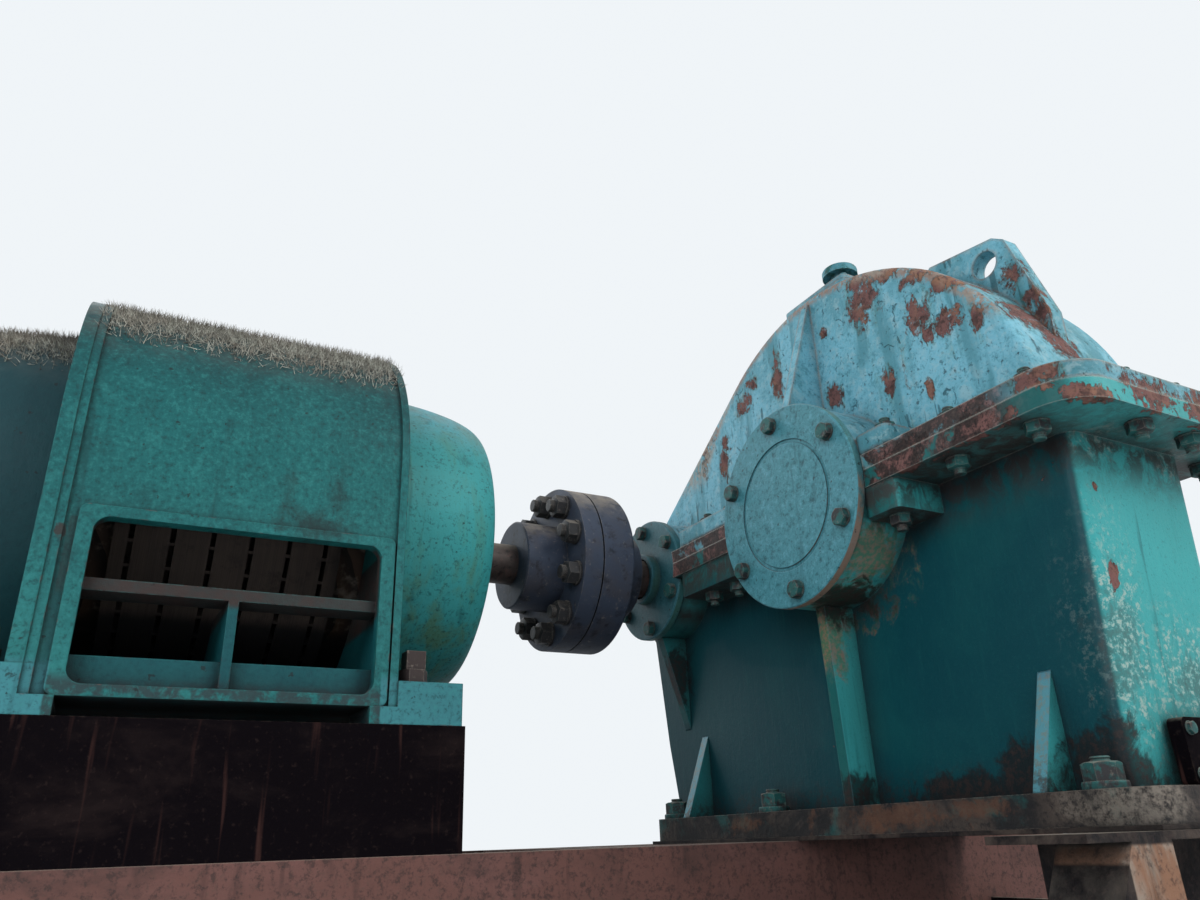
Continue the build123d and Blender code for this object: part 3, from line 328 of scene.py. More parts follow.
# Finishes. Each spot is a place and its reach along the axes, in metres
MOTOR_FINGERS = ((-0.765, -0.525, 1.06, 0.028, 0.08, 0.1), (-0.86, -0.525, 1.05, 0.026, 0.08, 0.1))
FOOT_RUST = (
    (0.29, -0.83, 0.44, 0.05, 0.16, 0.035),
    (0.29, -1.06, 0.445, 0.05, 0.1, 0.022),
    (0.29, -0.35, 0.44, 0.05, 0.12, 0.025),
)
CAP_STAINS = (
    (0.236, -0.87, 0.96, 0.08, 0.19, 0.19),
    (0.236, -0.74, 0.9, 0.08, 0.17, 0.09),
)
BOSS_STAINS = (
    (0.3, -0.88, 0.96, 0.1, 0.09, 0.13),
    (0.31, -0.76, 0.88, 0.1, 0.13, 0.09),
    (0.31, -0.7, 0.82, 0.05, 0.05, 0.13),
)
COVER_FLAKES = (
    (0.38, -0.904, 1.612, 0.05, 0.07, 0.092),
    (0.385, -0.905, 1.672, 0.06, 0.07, 0.036),
    (0.385, -0.985, 1.64, 0.06, 0.075, 0.036),
    (0.385, -1.065, 1.585, 0.06, 0.065, 0.036),
    (0.385, -1.13, 1.525, 0.06, 0.045, 0.03),
    (0.38, -1.058, 1.485, 0.05, 0.056, 0.078),
    (0.38, -1.1, 1.425, 0.05, 0.082, 0.044),
    (0.38, -1.16, 1.45, 0.05, 0.024, 0.024),
    (0.38, -1.195, 1.394, 0.05, 0.024, 0.048),
    (0.38, -0.752, 1.599, 0.05, 0.022, 0.022),
    (0.38, -0.936, 1.372, 0.05, 0.026, 0.054),
    (0.38, -1.045, 1.301, 0.05, 0.013, 0.032),
    (0.38, -0.756, 1.407, 0.05, 0.042, 0.045),
    (0.38, -0.554, 1.564, 0.05, 0.034, 0.085),
    (0.38, -0.446, 1.598, 0.05, 0.03, 0.028),
    (0.38, -0.4, 1.555, 0.05, 0.044, 0.042),
    (0.38, -0.295, 1.48, 0.05, 0.03, 0.042),
    (0.38, -0.284, 1.404, 0.05, 0.03, 0.062),
    (0.385, -0.19, 1.514, 0.05, 0.034, 0.12),
    (0.45, -1.165, 1.51, 0.1, 0.06, 0.04),
    (0.49, -1.235, 1.41, 0.1, 0.055, 0.095),
    (0.53, -1.265, 1.33, 0.08, 0.052, 0.085),
    (0.53, -1.194, 1.548, 0.06, 0.046, 0.046),
    (0.53, -1.232, 1.478, 0.06, 0.034, 0.032),
    (0.53, -1.3, 1.44, 0.06, 0.02, 0.026),
)
FLANGE_FLAKES = (
    (0.25, -1.38, 1.15, 0.08, 0.07, 0.05),
    (0.293, -1.437, 1.095, 0.09, 0.05, 0.03),
    (0.46, -1.45, 1.12, 0.14, 0.05, 0.06),
    (0.64, -1.44, 1.12, 0.16, 0.05, 0.06),
    (0.246, -1.05, 1.11, 0.04, 0.11, 0.05),
    (0.246, -1.24, 1.1, 0.04, 0.1, 0.045),
)
BASE_STAINS = (
    (0.32, -0.77, 0.88, 0.1, 0.1, 0.06),
    (0.33, -0.7, 0.49, 0.07, 0.06, 0.05),
    (0.38, -0.96, 0.47, 0.06, 0.18, 0.05),
    (0.38, -1.09, 0.49, 0.06, 0.09, 0.075),
    (0.38, -1.26, 0.48, 0.08, 0.12, 0.11),
    (0.34, -0.02, 0.83, 0.06, 0.05, 0.12),
)
BASE_BLOOM = (
    (0.6, -1.308, 0.64, 0.16, 0.08, 0.13),
    (0.42, -1.305, 0.7, 0.09, 0.08, 0.23),
    (0.7, -1.308, 0.54, 0.2, 0.08, 0.11),
    (0.45, -1.331, 1.07, 0.08, 0.06, 0.035),
    (0.69, -1.331, 1.07, 0.1, 0.06, 0.045),
)
BASE_FLAKES = (
    (0.43, -1.316, 0.807, 0.022, 0.04, 0.045),
    (0.425, -1.32, 0.98, 0.012, 0.04, 0.016),
)


def motor_paint():
    """Thick teal paint: fine grain, painted shade on the crown and inside the window, painted light
    low down, and dirty smudges round the window.
    """
    paint = Finish("motor_teal_paint", coat=0.02, gloss=0.18)
    edge = bpy.context.scene.drive_sizes.edge_round
    depth = SHAFT_HEIGHT - paint.z
    drift = paint.noise(3.4, 5, 0.6, 0.2)
    grain = paint.noise(95, 6, 0.76)
    mottle = paint.noise(15, 6, 0.70, 0.3, shift=(6, 3, 1))
    # Painted shade: darker teal on the crown, above the shaft.
    low = depth.step(-0.37, 0.0)
    paint.base = paint.mix(
        (low * 0.80 + drift.step(0.35, 0.65) * 0.25).least(1.0), "motor_deep", "motor_teal"
    )
    # Painted light: paler teal low on the motor.
    paint.lay("motor_light", depth.step(-0.10, 0.42) * (0.12 + drift.step(0.3, 0.7) * 0.30))
    paint.lay("motor_light", mottle, 0.52, 0.68, 0.20)
    paint.lay("motor_deep", mottle, 0.46, 0.32, 0.25)
    # More painted shade on the top of the crown.
    paint.lay("base_deep", depth, -0.22, -0.40, 0.75)
    drive_bell = paint.x.step(-0.615, -0.585) * paint.z.step(0.72, 0.74)
    rear_bell_shade = paint.x.step(-1.262, -1.275) * paint.z.step(0.72, 0.74)
    # Painted light on the drive-end bell: lit teal on its upper part, paler still at its top.
    painted_light = (0.45 + drift * 0.6) * depth.step(0.52, 0.16)
    paint.lay("base_end", (drive_bell * painted_light).least(1.0))
    faded = drive_bell * depth.step(-0.12, -0.34)
    paint.lay("cover_pale", faded * 0.55)
    feet = depth.step(0.405, 0.425) * (1 - paint.band(paint.x, -1.20, -0.66))
    paint.lay("cap_blue", feet * (0.35 + drift * 0.6))
    stains = paint.noise(1.0, 5, 0.65, 0.5, (16, 16, 3.2), (2, 7, 1))
    olive = drive_bell * stains.step(0.45, 0.68) * (0.35 + depth.step(-0.05, 0.35) * 0.4)
    paint.lay("olive", olive)
    paint.lay("motor_light", grain, 0.50, 0.66, 0.32)
    paint.lay("motor_deep", grain, 0.50, 0.34, 0.60)
    weave = paint.noise(1.0, 4, 0.65, 0.0, (150, 150, 18))
    paint.lay("motor_light", weave, 0.50, 0.72, 0.12)
    paint.lay("motor_deep", paint.streaks(30, 2.0), 0.56, 0.75, 0.45)
    # Painted shade on the rear bell.
    paint.lay(paint.mix(0.4, "base_deep", "grime_and_shade"), rear_bell_shade * 0.90)
    ragged = paint.noise(30, 7, 0.72, 0.4, shift=(4, 4, 0))
    smear = paint.spot((-0.800, -0.530, 0.992), (0.105, 0.08, 0.050)) + (ragged - 0.5) * 2.2
    paint.lay("grime_and_shade", smear, 0.0, 1.0, 0.75)
    fingers = paint.spots(MOTOR_FINGERS) + (ragged - 0.5) * 2.6
    paint.lay("grime_and_shade", fingers, 0.0, 1.2, 0.45)
    # Painted shade inside the window: near black down to the ledge and dark teal below it, with
    # dark oily brown above the ledge.
    inside = paint.band(paint.x, -1.215, -0.650) * paint.z.step(0.965, 0.958) * paint.y.step(
        -0.532, -0.512
    )
    inside = inside * paint.y.step(0.532, 0.512)
    ledge = paint.z.step(0.820, 0.835)
    paint.lay(paint.mix(ledge, "base_deep", "grime_and_shade"), inside * 0.72)
    oily = inside * ledge * (0.60 + mottle.step(0.4, 0.6) * 0.35)
    paint.lay("umber", oily)
    blots = paint.noise(30, 6, 0.7, 0.3, shift=(1, 1, 6)).step(0.38, 0.54)
    sill = (depth.step(0.425, 0.450) - feet).most(0.0) * blots
    paint.lay(paint.mix(0.6, "base_deep", "umber"), sill * 0.85)
    edges = paint.edges(edge)
    worn = paint.noise(34, 6, 0.72, shift=(9, 2, 4))
    paint.lay("motor_light", edges * worn.step(0.56, 0.44) * 0.45)
    chipped = edges * worn.step(0.55, 0.61)
    paint.lay(rust_colour(paint, 0.2), chipped * 0.85)
    spot = paint.spot((-1.227, -0.532, 0.931), (0.012, 0.03, 0.018)) + (ragged - 0.5) * 2.4
    paint.lay("umber", spot, 0.2, 0.5, 0.85)
    specks = paint.noise(46, 3, 0.6, shift=(1, 8, 3)).step(0.68, 0.72)
    paint.lay("grime_and_shade", specks * 0.7)
    # Dirt and painted shade in the corners.
    corners = paint.corners(0.045)
    paint.lay("grime_and_shade", corners * 0.95)
    dust = dusted(paint, 0.30)
    peel = grain * 0.7 + weave * 0.35 + paint.noise(30, 3, 0.5) * 0.8 - chipped * 0.8
    return paint.close(0.46 + grain * 0.18 + dust * 0.35 + corners * 0.2, peel, 0.0012, edge)


def cover_paint():
    """Faded, cracked blue paint over red-brown rust that shows in ragged patches, with a painted
    highlight along its edges and upper rim.
    """
    paint = Finish("cover_faded_paint", gloss=0.25)
    edge = bpy.context.scene.drive_sizes.edge_round
    height = paint.z - SHAFT_HEIGHT
    drift = paint.noise(4.2, 6, 0.62, 0.3)
    fine = paint.noise(120, 5, 0.72)
    crust = paint.noise(34, 7, 0.72, 0.3, shift=(1, 5, 2))
    fade = (drift.step(0.36, 0.60) * 0.65 + height.step(0.02, 0.22) * 0.35).least(1.0)
    paint.base = paint.mix(fade, "cover_green", "cover_pale")
    chalk = paint.mix(0.45, "cover_pale", "lime")
    paint.lay(chalk, crust, 0.50, 0.64, 0.45)
    paint.lay("cover_green", crust, 0.48, 0.34, 0.75)
    paint.lay("base_deep", fine, 0.46, 0.32, 0.50)
    paint.lay(chalk, fine, 0.54, 0.68, 0.30)
    runs = paint.streaks(13, 1.6, 4.0)
    paint.lay("cover_green", runs, 0.50, 0.64, 0.80)
    drips = paint.streaks(60, 5.0, 1.7) * paint.noise(5, 3, 0.5, shift=(0, 2, 2)).step(0.45, 0.6)
    paint.lay("base_deep", drips, 0.55, 0.62, 0.65)
    broken = paint.cracks(17, 0.035, (1, 1, 0.5)) * paint.noise(16, 5, 0.7, shift=(8, 1, 1)).step(
        0.54, 0.62
    )
    paint.lay("base_deep", broken * 0.75)
    # Wide edges for the painted highlight.
    edges = paint.edges(edge * 3)
    ragged = paint.noise(20, 8, 0.70, 0.7, (1, 1, 0.7), (2.3, 0.4, 6.1))
    fringe = paint.noise(70, 6, 0.75, 0.3, (1, 1, 0.6), (6, 1, 3))
    wide = paint.noise(6.0, 9, 0.66, 0.5, (1, 1, 0.72), (8.3, 2.4, 1.1))
    near = paint.spots(COVER_FLAKES + FLANGE_FLAKES) + (ragged - 0.5) * 2.8 + (fringe - 0.5) * 1.6
    level = near.most((wide - 0.5) * 3.0 + (fringe - 0.5) * 0.8 - 0.12)
    bare = level.step(0.42, 0.47)
    border = (level.step(0.30, 0.42) - bare).most(0.0)
    paint.lay(chalk, border * 0.55)
    stained = level.step(-0.10, 0.42) * paint.streaks(44, 5.0, 6.0).step(0.46, 0.60)
    paint.lay("olive", stained * 0.30)
    rust = rust_colour(paint, 0.45)
    left = crust.step(0.56, 0.62) * level.step(0.95, 0.60)
    paint.lay(rust, bare * (1 - left * 0.8))
    # Painted highlight: rust orange and dust tones along the edges and the upper rim of the drum.
    rim_highlight = paint.mix(drift.step(0.42, 0.58), "rust_orange", "dust")
    paint.lay(rim_highlight, (edges * (0.45 + fringe.step(0.42, 0.54) * 0.6)).least(0.9))
    rim = 1 - paint.spot((0.38, OUTPUT_Y, SHAFT_HEIGHT), (50.0, 1.0, 1.0))
    rim = rim.step(0.568, 0.590) * paint.x.step(0.405, 0.395) * height.step(0.24, 0.30)
    paint.lay(rim_highlight, rim * fringe.step(0.40, 0.52) * 0.8)
    flange = height.step(0.050, 0.034) * paint.up.step(0.6, 0.3)
    edges = paint.edges(edge)
    flange_scale(paint, flange * (0.10 + paint.y.step(-1.36, -1.26) * 0.90))
    paint.lay("lime", flange * edges * 0.8)
    pits = paint.noise(70, 4, 0.68, shift=(6, 6, 1)).step(0.64, 0.69)
    paint.lay("grime_and_shade", pits * 0.60)
    # Dirt and painted shade in the corners.
    paint.lay("grime_and_shade", paint.corners(0.05) * 0.6)
    dust = dusted(paint, 0.3)
    coat = fine * 0.35 + crust * 1.1 - bare * 1.3 + border * 0.4 - pits * 0.6 - broken * 0.6
    return paint.close(0.58 + fine * 0.15 + bare * 0.25 + dust * 0.2, coat, 0.0032, edge)


def cap_paint():
    """Blue-green paint of the bearing caps, whole but dusty, with a brown stain low on the rim."""
    paint = Finish("cap_blue_green_paint", coat=0.02, gloss=0.28)
    drift = paint.noise(6.0, 5, 0.6, 0.2)
    fine = paint.noise(140, 5, 0.7)
    pores = paint.noise(52, 6, 0.72, shift=(1, 3, 3))
    paint.base = paint.mix(drift.step(0.3, 0.7) * 0.6, "cap_blue", "cover_green")
    paint.lay("cover_pale", pores, 0.52, 0.68, 0.35)
    paint.lay("base_deep", pores, 0.47, 0.34, 0.70)
    paint.lay("base_deep", fine, 0.48, 0.36, 0.35)
    paint.lay("cover_pale", fine, 0.54, 0.66, 0.12)
    shaded = paint.y.step(-0.42, -0.36) * paint.x.step(0.37, 0.35)
    paint.lay("base_deep", shaded * 0.65)
    rim = (paint.east * paint.east).step(0.5, 0.2)
    paint.lay("olive", rim * drift.step(0.4, 0.6) * 0.35)
    edges = paint.edges(0.003)
    paint.lay("cover_pale", edges * 0.45)
    stain = paint.spots(CAP_STAINS) + (paint.noise(20, 6, 0.7, 0.4) - 0.5) * 2.2
    paint.lay("rust_orange", stain.step(0.1, 0.6) * 0.75 * rim)
    drips = paint.streaks(55, 6.0, 3.0).step(0.60, 0.68)
    paint.lay("base_deep", drips * 0.30)
    specks = paint.noise(62, 3, 0.6, shift=(6, 1, 1)).step(0.66, 0.70)
    paint.lay("grime_and_shade", specks * 0.8)
    # Dirt and painted shade in the corners.
    paint.lay("grime_and_shade", paint.corners(0.035) * 0.9)
    dust = dusted(paint, 0.4)
    return paint.close(0.52 + fine * 0.15 + dust * 0.2, pores * 0.9 + fine * 0.3, 0.0020, 0.003)


def base_paint():
    """Deep teal paint with painted shade on the sides and under the flange, painted light on the
    end walls, stained round its foot.
    """
    paint = Finish("base_oily_paint", coat=0.04, gloss=0.14)
    edge = bpy.context.scene.drive_sizes.edge_round
    under = SHAFT_HEIGHT - paint.z
    drift = paint.noise(3.0, 5, 0.6, 0.3)
    grain = paint.noise(140, 5, 0.72)
    # Painted light and shade: lit teal on the end walls and other faces not turned to the sides,
    # shaded deep teal on the side walls, middle teal on the ribs.
    side = (paint.east * paint.east).step(0.35, 0.70)
    wall = side * paint.band(paint.x, 0.376, 0.730)
    painted_light = paint.mix(drift.step(0.3, 0.7) * 0.35, "base_end", "motor_light")
    dark = paint.mix(drift.step(0.40, 0.72) * 0.30, "base_deep", "base_teal")
    ribs = paint.mix(drift.step(0.3, 0.65) * 0.5, "base_teal", "motor_teal")
    paint.base = paint.mix(side, painted_light, paint.mix(wall, ribs, dark))
    shaded = paint.y.step(-0.62, -0.50) * paint.z.step(1.08, 1.0)
    paint.lay(paint.mix(0.3, "base_deep", "grime_and_shade"), shaded * 0.55)
    scratched = paint.noise(1.0, 5, 0.7, 0.2, (60, 60, 7), (4, 0, 0))
    paint.lay("base_teal", scratched, 0.54, 0.76, 0.20)
    paint.lay("base_teal", grain, 0.52, 0.70, 0.20)
    paint.lay("base_deep", grain, 0.46, 0.32, 0.35)
    paint.lay("base_deep", paint.streaks(30, 1.8, 1.5), 0.56, 0.72, 0.45)
    ragged = paint.noise(24, 8, 0.72, 0.5, (1, 1, 0.8), (4, 3, 9))
    speckle = paint.noise(75, 6, 0.75, shift=(3, 9, 1))
    # Painted light, with some dust: pale teal on faces that tilt upward.
    faded = paint.up.step(0.22, 0.42) * (1 - paint.up.step(0.85, 0.95))
    worn = paint.mix(speckle.step(0.46, 0.60) * 0.7, "cover_pale", "dust")
    paint.lay(worn, faded * 0.60)
    bloom = paint.spots(BASE_BLOOM) + (ragged - 0.5) * 2.0
    pale = paint.mix(0.8, "motor_light", "lime")
    paint.lay(pale, bloom.step(-0.3, 0.6) * speckle.step(0.50, 0.62) * (0.70 - side * 0.55))
    boss = paint.spots(BOSS_STAINS) + (ragged - 0.5) * 2.2
    paint.lay(paint.mix(speckle.step(0.44, 0.58), "olive", "rust_orange"), boss, 0.0, 0.6, 0.75)
    paint.lay("plate_brown", bloom.step(0.30, 0.85) * speckle.step(0.60, 0.44) * 0.55)
    stains = paint.spots(BASE_STAINS) + (ragged - 0.5) * 2.4
    paint.lay("grime_and_shade", stains, 0.0, 0.45, 0.85)
    paint.lay("umber", stains.step(0.20, 0.60) * speckle.step(0.45, 0.58) * 0.75)
    splash = paint.z.step(0.55, 0.44) * (ragged * 0.6 + speckle).step(0.76, 0.90)
    paint.lay("umber", splash * 0.80)
    edges = paint.edges(edge)
    rim = under.step(0.055, 0.035)
    # Painted shade in dark umber: a ragged band under the flange, and the faces that look down.
    below = paint.up.step(-0.45, -0.80) * paint.z.step(0.95, 1.0)
    shade_under_flange = under.step(0.17, 0.05) * ragged.step(0.38, 0.56) * (1 - rim) * 0.85
    paint.lay(
        "umber",
        shade_under_flange.most(
            below * (0.30 + ragged.step(0.40, 0.56) * 0.25 + paint.y.step(-1.40, -1.28) * 0.40)
        ),
    )
    level = paint.spots(BASE_FLAKES + FLANGE_FLAKES) + (ragged - 0.5) * 2.4 + (speckle - 0.5) * 1.2
    wide = paint.noise(7.5, 8, 0.66, 0.4, shift=(7, 1, 2))
    level = level.most((wide - 0.5) * 3.0 + (speckle - 0.5) * 0.8 - 0.15)
    bare = level.step(0.42, 0.47)
    paint.lay("cover_green", edges * 0.35)
    paint.lay(rust_colour(paint, 0.6), bare)
    rim = rim * paint.up.step(-0.9, -0.6)
    flange_scale(paint, rim * (0.10 + paint.y.step(-1.36, -1.26) * 0.90))
    paint.lay("lime", rim * edges * 0.6)
    # Dirt and painted shade in the corners.
    corners = paint.corners(0.07)
    paint.lay("grime_and_shade", corners * 0.9)
    dust = dusted(paint, 0.55)
    coat = grain * 0.35 + scratched * 0.5 + ragged * 0.6 + speckle * 0.3 - bare * 0.9
    return paint.close(0.40 + grain * 0.18 + bare * 0.3 + dust * 0.3, coat, 0.0016, edge)


def foot_steel():
    """Thick foot plate: brown, oily, with rust and the last of the teal paint."""
    steel = Finish("foot_brown_plate", gloss=0.25)
    blots = steel.noise(9, 7, 0.70, 0.5, (1, 1, 1.4))
    grains = steel.noise(80, 6, 0.74)
    steel.base = steel.mix(blots.step(0.40, 0.62) * 0.7, "grime_and_shade", "plate_brown")
    steel.lay("grime_and_shade", grains, 0.48, 0.62, 0.8)
    teal = steel.noise(7, 6, 0.7, 0.3, shift=(8, 4, 4))
    steel.lay("base_teal", teal, 0.54, 0.66, 0.45)
    rust = steel.spots(FOOT_RUST) + (grains - 0.5) * 2.2 + (blots - 0.5) * 1.4
    steel.lay("foot_rust", rust, 0.15, 0.75, 0.5)
    tan = steel.spot((0.31, -1.33, 0.440), (0.08, 0.12, 0.06)) + (blots - 0.5) * 2.0
    steel.lay("dust", tan.step(0.0, 0.6) * grains.step(0.66, 0.40) * 0.5)
    flecks = steel.noise(13, 6, 0.7, shift=(1, 4, 4)).step(0.58, 0.66)
    steel.lay("foot_rust", flecks * 0.4)
    steel.lay("dust", steel.edges(0.003) * grains.step(0.44, 0.56) * 0.4)
    # Dirt and painted shade in the corners.
    steel.lay("grime_and_shade", steel.corners(0.05) * 0.9)
    dust = dusted(steel, 0.4)
    return steel.close(0.58 + grains * 0.25 + dust * 0.15, grains * 0.8 + blots, 0.0020, 0.003)


def bed_steel():
    """Red-brown steel with fine spots and a thin pale upper edge."""
    steel = Finish("bed_brown_steel", gloss=0.25)
    drift = steel.noise(5, 6, 0.62, 0.3, (0.6, 1, 1.4))
    spots = steel.noise(120, 5, 0.74)
    steel.base = steel.mix(drift.step(0.40, 0.66) * 0.45, "bed_brown", "rust_red")
    steel.lay("plate_brown", spots, 0.52, 0.66, 0.35)
    grains = steel.noise(90, 5, 0.75, shift=(3, 3, 3))
    steel.lay("umber", grains, 0.48, 0.64, 0.70)
    dark = steel.noise(4, 5, 0.65, 0.4, (1, 1, 2.0), (5, 2, 2))
    steel.lay("umber", dark, 0.46, 0.66, 0.50)
    steel.lay("grime_and_shade", steel.streaks(30, 3.5, 2.0), 0.55, 0.7, 0.35)
    steel.lay("dust", steel.edges(0.003) * 0.6)
    # Dirt and painted shade in the corners.
    steel.lay("grime_and_shade", steel.corners(0.06) * 0.8)
    dust = dusted(steel, 0.8)
    scale = spots * 0.8 + steel.noise(16, 4, 0.6) * 0.8
    return steel.close(0.62 + spots * 0.22 + dust * 0.1, scale, 0.0014, 0.003)


def pedestal_steel():
    """Nearly black steel, oily, with faint brown rust."""
    steel = Finish("pedestal_black_steel", gloss=0.03)
    drift = steel.noise(6, 6, 0.66, 0.4, (0.6, 1, 1.2))
    grains = steel.noise(95, 5, 0.7)
    steel.base = steel.mix(drift.step(0.52, 0.74) * 0.30, "pedestal_black", "umber")
    steel.lay("umber", grains, 0.56, 0.70, 0.30)
    steel.lay("bed_brown", steel.streaks(30, 2.2, 7.0), 0.58, 0.72, 0.25)
    steel.lay("plate_brown", steel.edges(0.003) * grains.step(0.44, 0.6) * 0.4)
    dusted(steel, 0.3)
    return steel.close(0.72 + grains * 0.2, grains * 0.8 + drift * 0.8, 0.0013, 0.003)


def outrigger_steel():
    """Dark oily beam and plate, darker still as painted shade; tan and rusty on the posts."""
    steel = Finish("outrigger_brown_steel", gloss=0.2)
    drift = steel.noise(8, 6, 0.68, 0.5)
    grains = steel.noise(75, 6, 0.74)
    post = steel.band(steel.x, 0.165, 0.30).most(steel.band(steel.x, 0.80, 0.935))
    post = post * steel.y.step(-1.26, -1.29) * steel.z.step(0.386, 0.380)
    tan = steel.mix(drift.step(0.40, 0.60), "rust_orange", "dust")
    # Dark oil, and painted shade, on the beam and plate.
    steel.base = steel.mix(drift.step(0.42, 0.62) * 0.75, "pedestal_black", "plate_brown")
    steel.lay(tan, post * 0.85)
    steel.lay("umber", grains, 0.50, 0.64, 0.6)
    steel.lay("grime_and_shade", steel.streaks(34, 3.0, 3.0), 0.54, 0.7, 0.6)
    # Dirt and painted shade in the corners.
    steel.lay("grime_and_shade", steel.corners(0.05) * 0.85)
    dusted(steel, 0.6)
    return steel.close(0.68 + grains * 0.2, grains * 0.9 + drift, 0.0024, 0.003)


def core_plates():
    """Packed plates: fine lines round the core, dusty above, and near black below as painted shade.
    """
    plates = Finish("core_plate_packs", metallic=0.1, gloss=0.2)
    lines = plates.noise(1.0, 2, 0.5, 0, (700, 3, 3))
    stripes = plates.noise(1.0, 4, 0.6, 0, (60, 9, 5), (2, 0, 0))
    plates.base = plates.mix(stripes.step(0.36, 0.66) * 0.5, "plates", "plate_brown")
    plates.lay("grime_and_shade", lines, 0.4, 0.7, 0.30)
    plates.lay("grime_and_shade", plates.noise(22, 5, 0.7), 0.52, 0.7, 0.45)
    # Painted shade: near black below the ledge and towards the drive end.
    oil = plates.z.step(0.868, 0.842).most(plates.x.step(-0.745, -0.700) * 0.8)
    plates.lay("grime_and_shade", oil * 0.96)
    # Dirt and painted shade in the corners.
    plates.lay("grime_and_shade", plates.corners(0.02) * 0.6)
    return plates.close(0.62 + lines * 0.2, lines, 0.0008)


def winding_tape():
    """Overlapping turns of varnished tape."""
    tape = Finish("winding_varnished_tape", gloss=0.2)
    turns = tape.node(
        "ShaderNodeTexWave",
        {"Vector": tape.place, "Scale": 14.0, "Distortion": 1.2, "Detail": 2.0},
        wave_type="BANDS",
        bands_direction="DIAGONAL",
        wave_profile="SAW",
    )
    tape.base = tape.mix(turns.step(0.1, 0.9) * 0.8, "tape", "grime_and_shade")
    tape.lay("dust", tape.noise(30, 5, 0.6), 0.5, 0.7, 0.4)
    # Painted shade: near black below the ledge.
    tape.lay("grime_and_shade", tape.z, 0.868, 0.842, 0.9)
    return tape.close(0.55 + turns * 0.2, turns, 0.002)


def shaft_steel():
    """Turned steel, brown with old oil."""
    steel = Finish("shaft_old_steel", metallic=0.4)
    rings = steel.noise(1.0, 2, 0.5, 0, (420, 2, 2))
    film = steel.noise(12, 5, 0.65)
    steel.base = steel.mix(film.step(0.35, 0.65) * 0.7, "shaft", "umber")
    steel.lay("rust_red", steel.noise(40, 5, 0.7, shift=(2, 5, 1)), 0.52, 0.66, 0.25)
    steel.lay("grime_and_shade", steel.noise(55, 5, 0.7, shift=(4, 5, 9)), 0.52, 0.66, 0.7)
    dust = dusted(steel, 0.6)
    return steel.close(0.45 + film * 0.2 + dust * 0.3, rings * 0.5 + film * 0.5, 0.0006, 0.002)


def coupling_iron():
    """Turned blue-grey iron with a coat of tan dust on top."""
    iron = Finish("coupling_dark_iron", metallic=0.2, gloss=0.25)
    rings = iron.noise(1.0, 2, 0.5, 0, (300, 3, 3))
    film = iron.noise(11, 6, 0.65, 0.3)
    specks = iron.noise(60, 6, 0.75, shift=(9, 2, 3))
    iron.base = iron.mix(film.step(0.42, 0.7) * 0.35, "iron", "plate_brown")
    iron.lay("grime_and_shade", iron.noise(26, 5, 0.7, shift=(4, 2, 8)), 0.52, 0.68, 0.6)
    iron.lay("dust", specks, 0.58, 0.68, 0.25)
    iron.lay("dust", iron.edges(0.003) * specks.step(0.42, 0.56) * 0.45)
    # Dirt and painted shade in the corners.
    iron.lay("grime_and_shade", iron.corners(0.03) * 0.85)
    dust = dusted(iron, 0.9)
    return iron.close(0.52 + film * 0.2 + dust * 0.3, rings * 0.3 + film * 0.6, 0.0008, 0.003)


def bolt_steel():
    """Dark fasteners with rust, dust and the paint of what they hold."""
    steel = Finish("bolt_dark_steel", metallic=0.2, gloss=0.3)
    film = steel.noise(34, 5, 0.65)
    painted = film.step(0.42, 0.56) * steel.band(steel.x, 0.19, 0.92)
    steel.base = steel.mix(painted * 0.8, "bolt", "base_teal")
    rusty = steel.noise(75, 5, 0.7, shift=(2, 2, 7)).step(0.54, 0.66)
    steel.lay("umber", rusty * 0.45)
    worn = steel.x.step(-0.40, -0.42) * steel.z.step(0.80, 0.78)
    steel.lay("umber", worn * 0.8)
    steel.lay("cover_green", steel.z.step(1.560, 1.575) * film.step(0.60, 0.48) * 0.9)
    steel.lay("dust", steel.noise(90, 5, 0.7, shift=(8, 2, 2)), 0.54, 0.70, 0.3)
    steel.lay("dust", steel.edges(0.0025) * 0.35)
    # Dirt and painted shade in the corners.
    steel.lay("grime_and_shade", steel.corners(0.02) * 0.8)
    dusted(steel, 0.5)
    return steel.close(0.5 + film * 0.25, film, 0.0008, 0.0015)


def crown_dust():
    """Matted dust, browner on top than where it droops."""
    dust = Finish("crown_matted_dust")
    tone = dust.noise(60, 4, 0.7)
    dust.base = dust.mix(tone.step(0.40, 0.62) * 0.8, "lime", "plate_brown")
    dust.lay("dust", dust.noise(9, 4, 0.6), 0.45, 0.65, 0.6)
    above = dust.z.step(1.44, 1.50).most(dust.x.step(-1.27, -1.28) * dust.z.step(1.41, 1.45))
    dust.lay("plate_brown", above * 0.55)
    return dust.close(0.9 + tone * 0.05, tone, 0.001)


MAKERS = {
    maker.__name__: maker
    for maker in (
        motor_paint, cover_paint, cap_paint, base_paint, foot_steel, bed_steel, pedestal_steel,
        outrigger_steel, core_plates, winding_tape, shaft_steel, coupling_iron, bolt_steel,
        crown_dust,
    )
}


def finish_of(context, slot_name):
    """The material of a slot, made when it is first asked for."""
    key = "drive_" + slot_name
    if key not in context.scene:
        context.scene[key] = MAKERS[slot_name]().name
    return bpy.data.materials[context.scene[key]]


def dress(context, names):
    """Give CAD nodes the finish of their slots."""
    slots = {part["node"]: part["material_slot"] for part in frame["record"]["subparts"]}
    for name in names:
        material = finish_of(context, slots[name])
        for place in frame["nodes"][name].material_slots:
            place.material = material


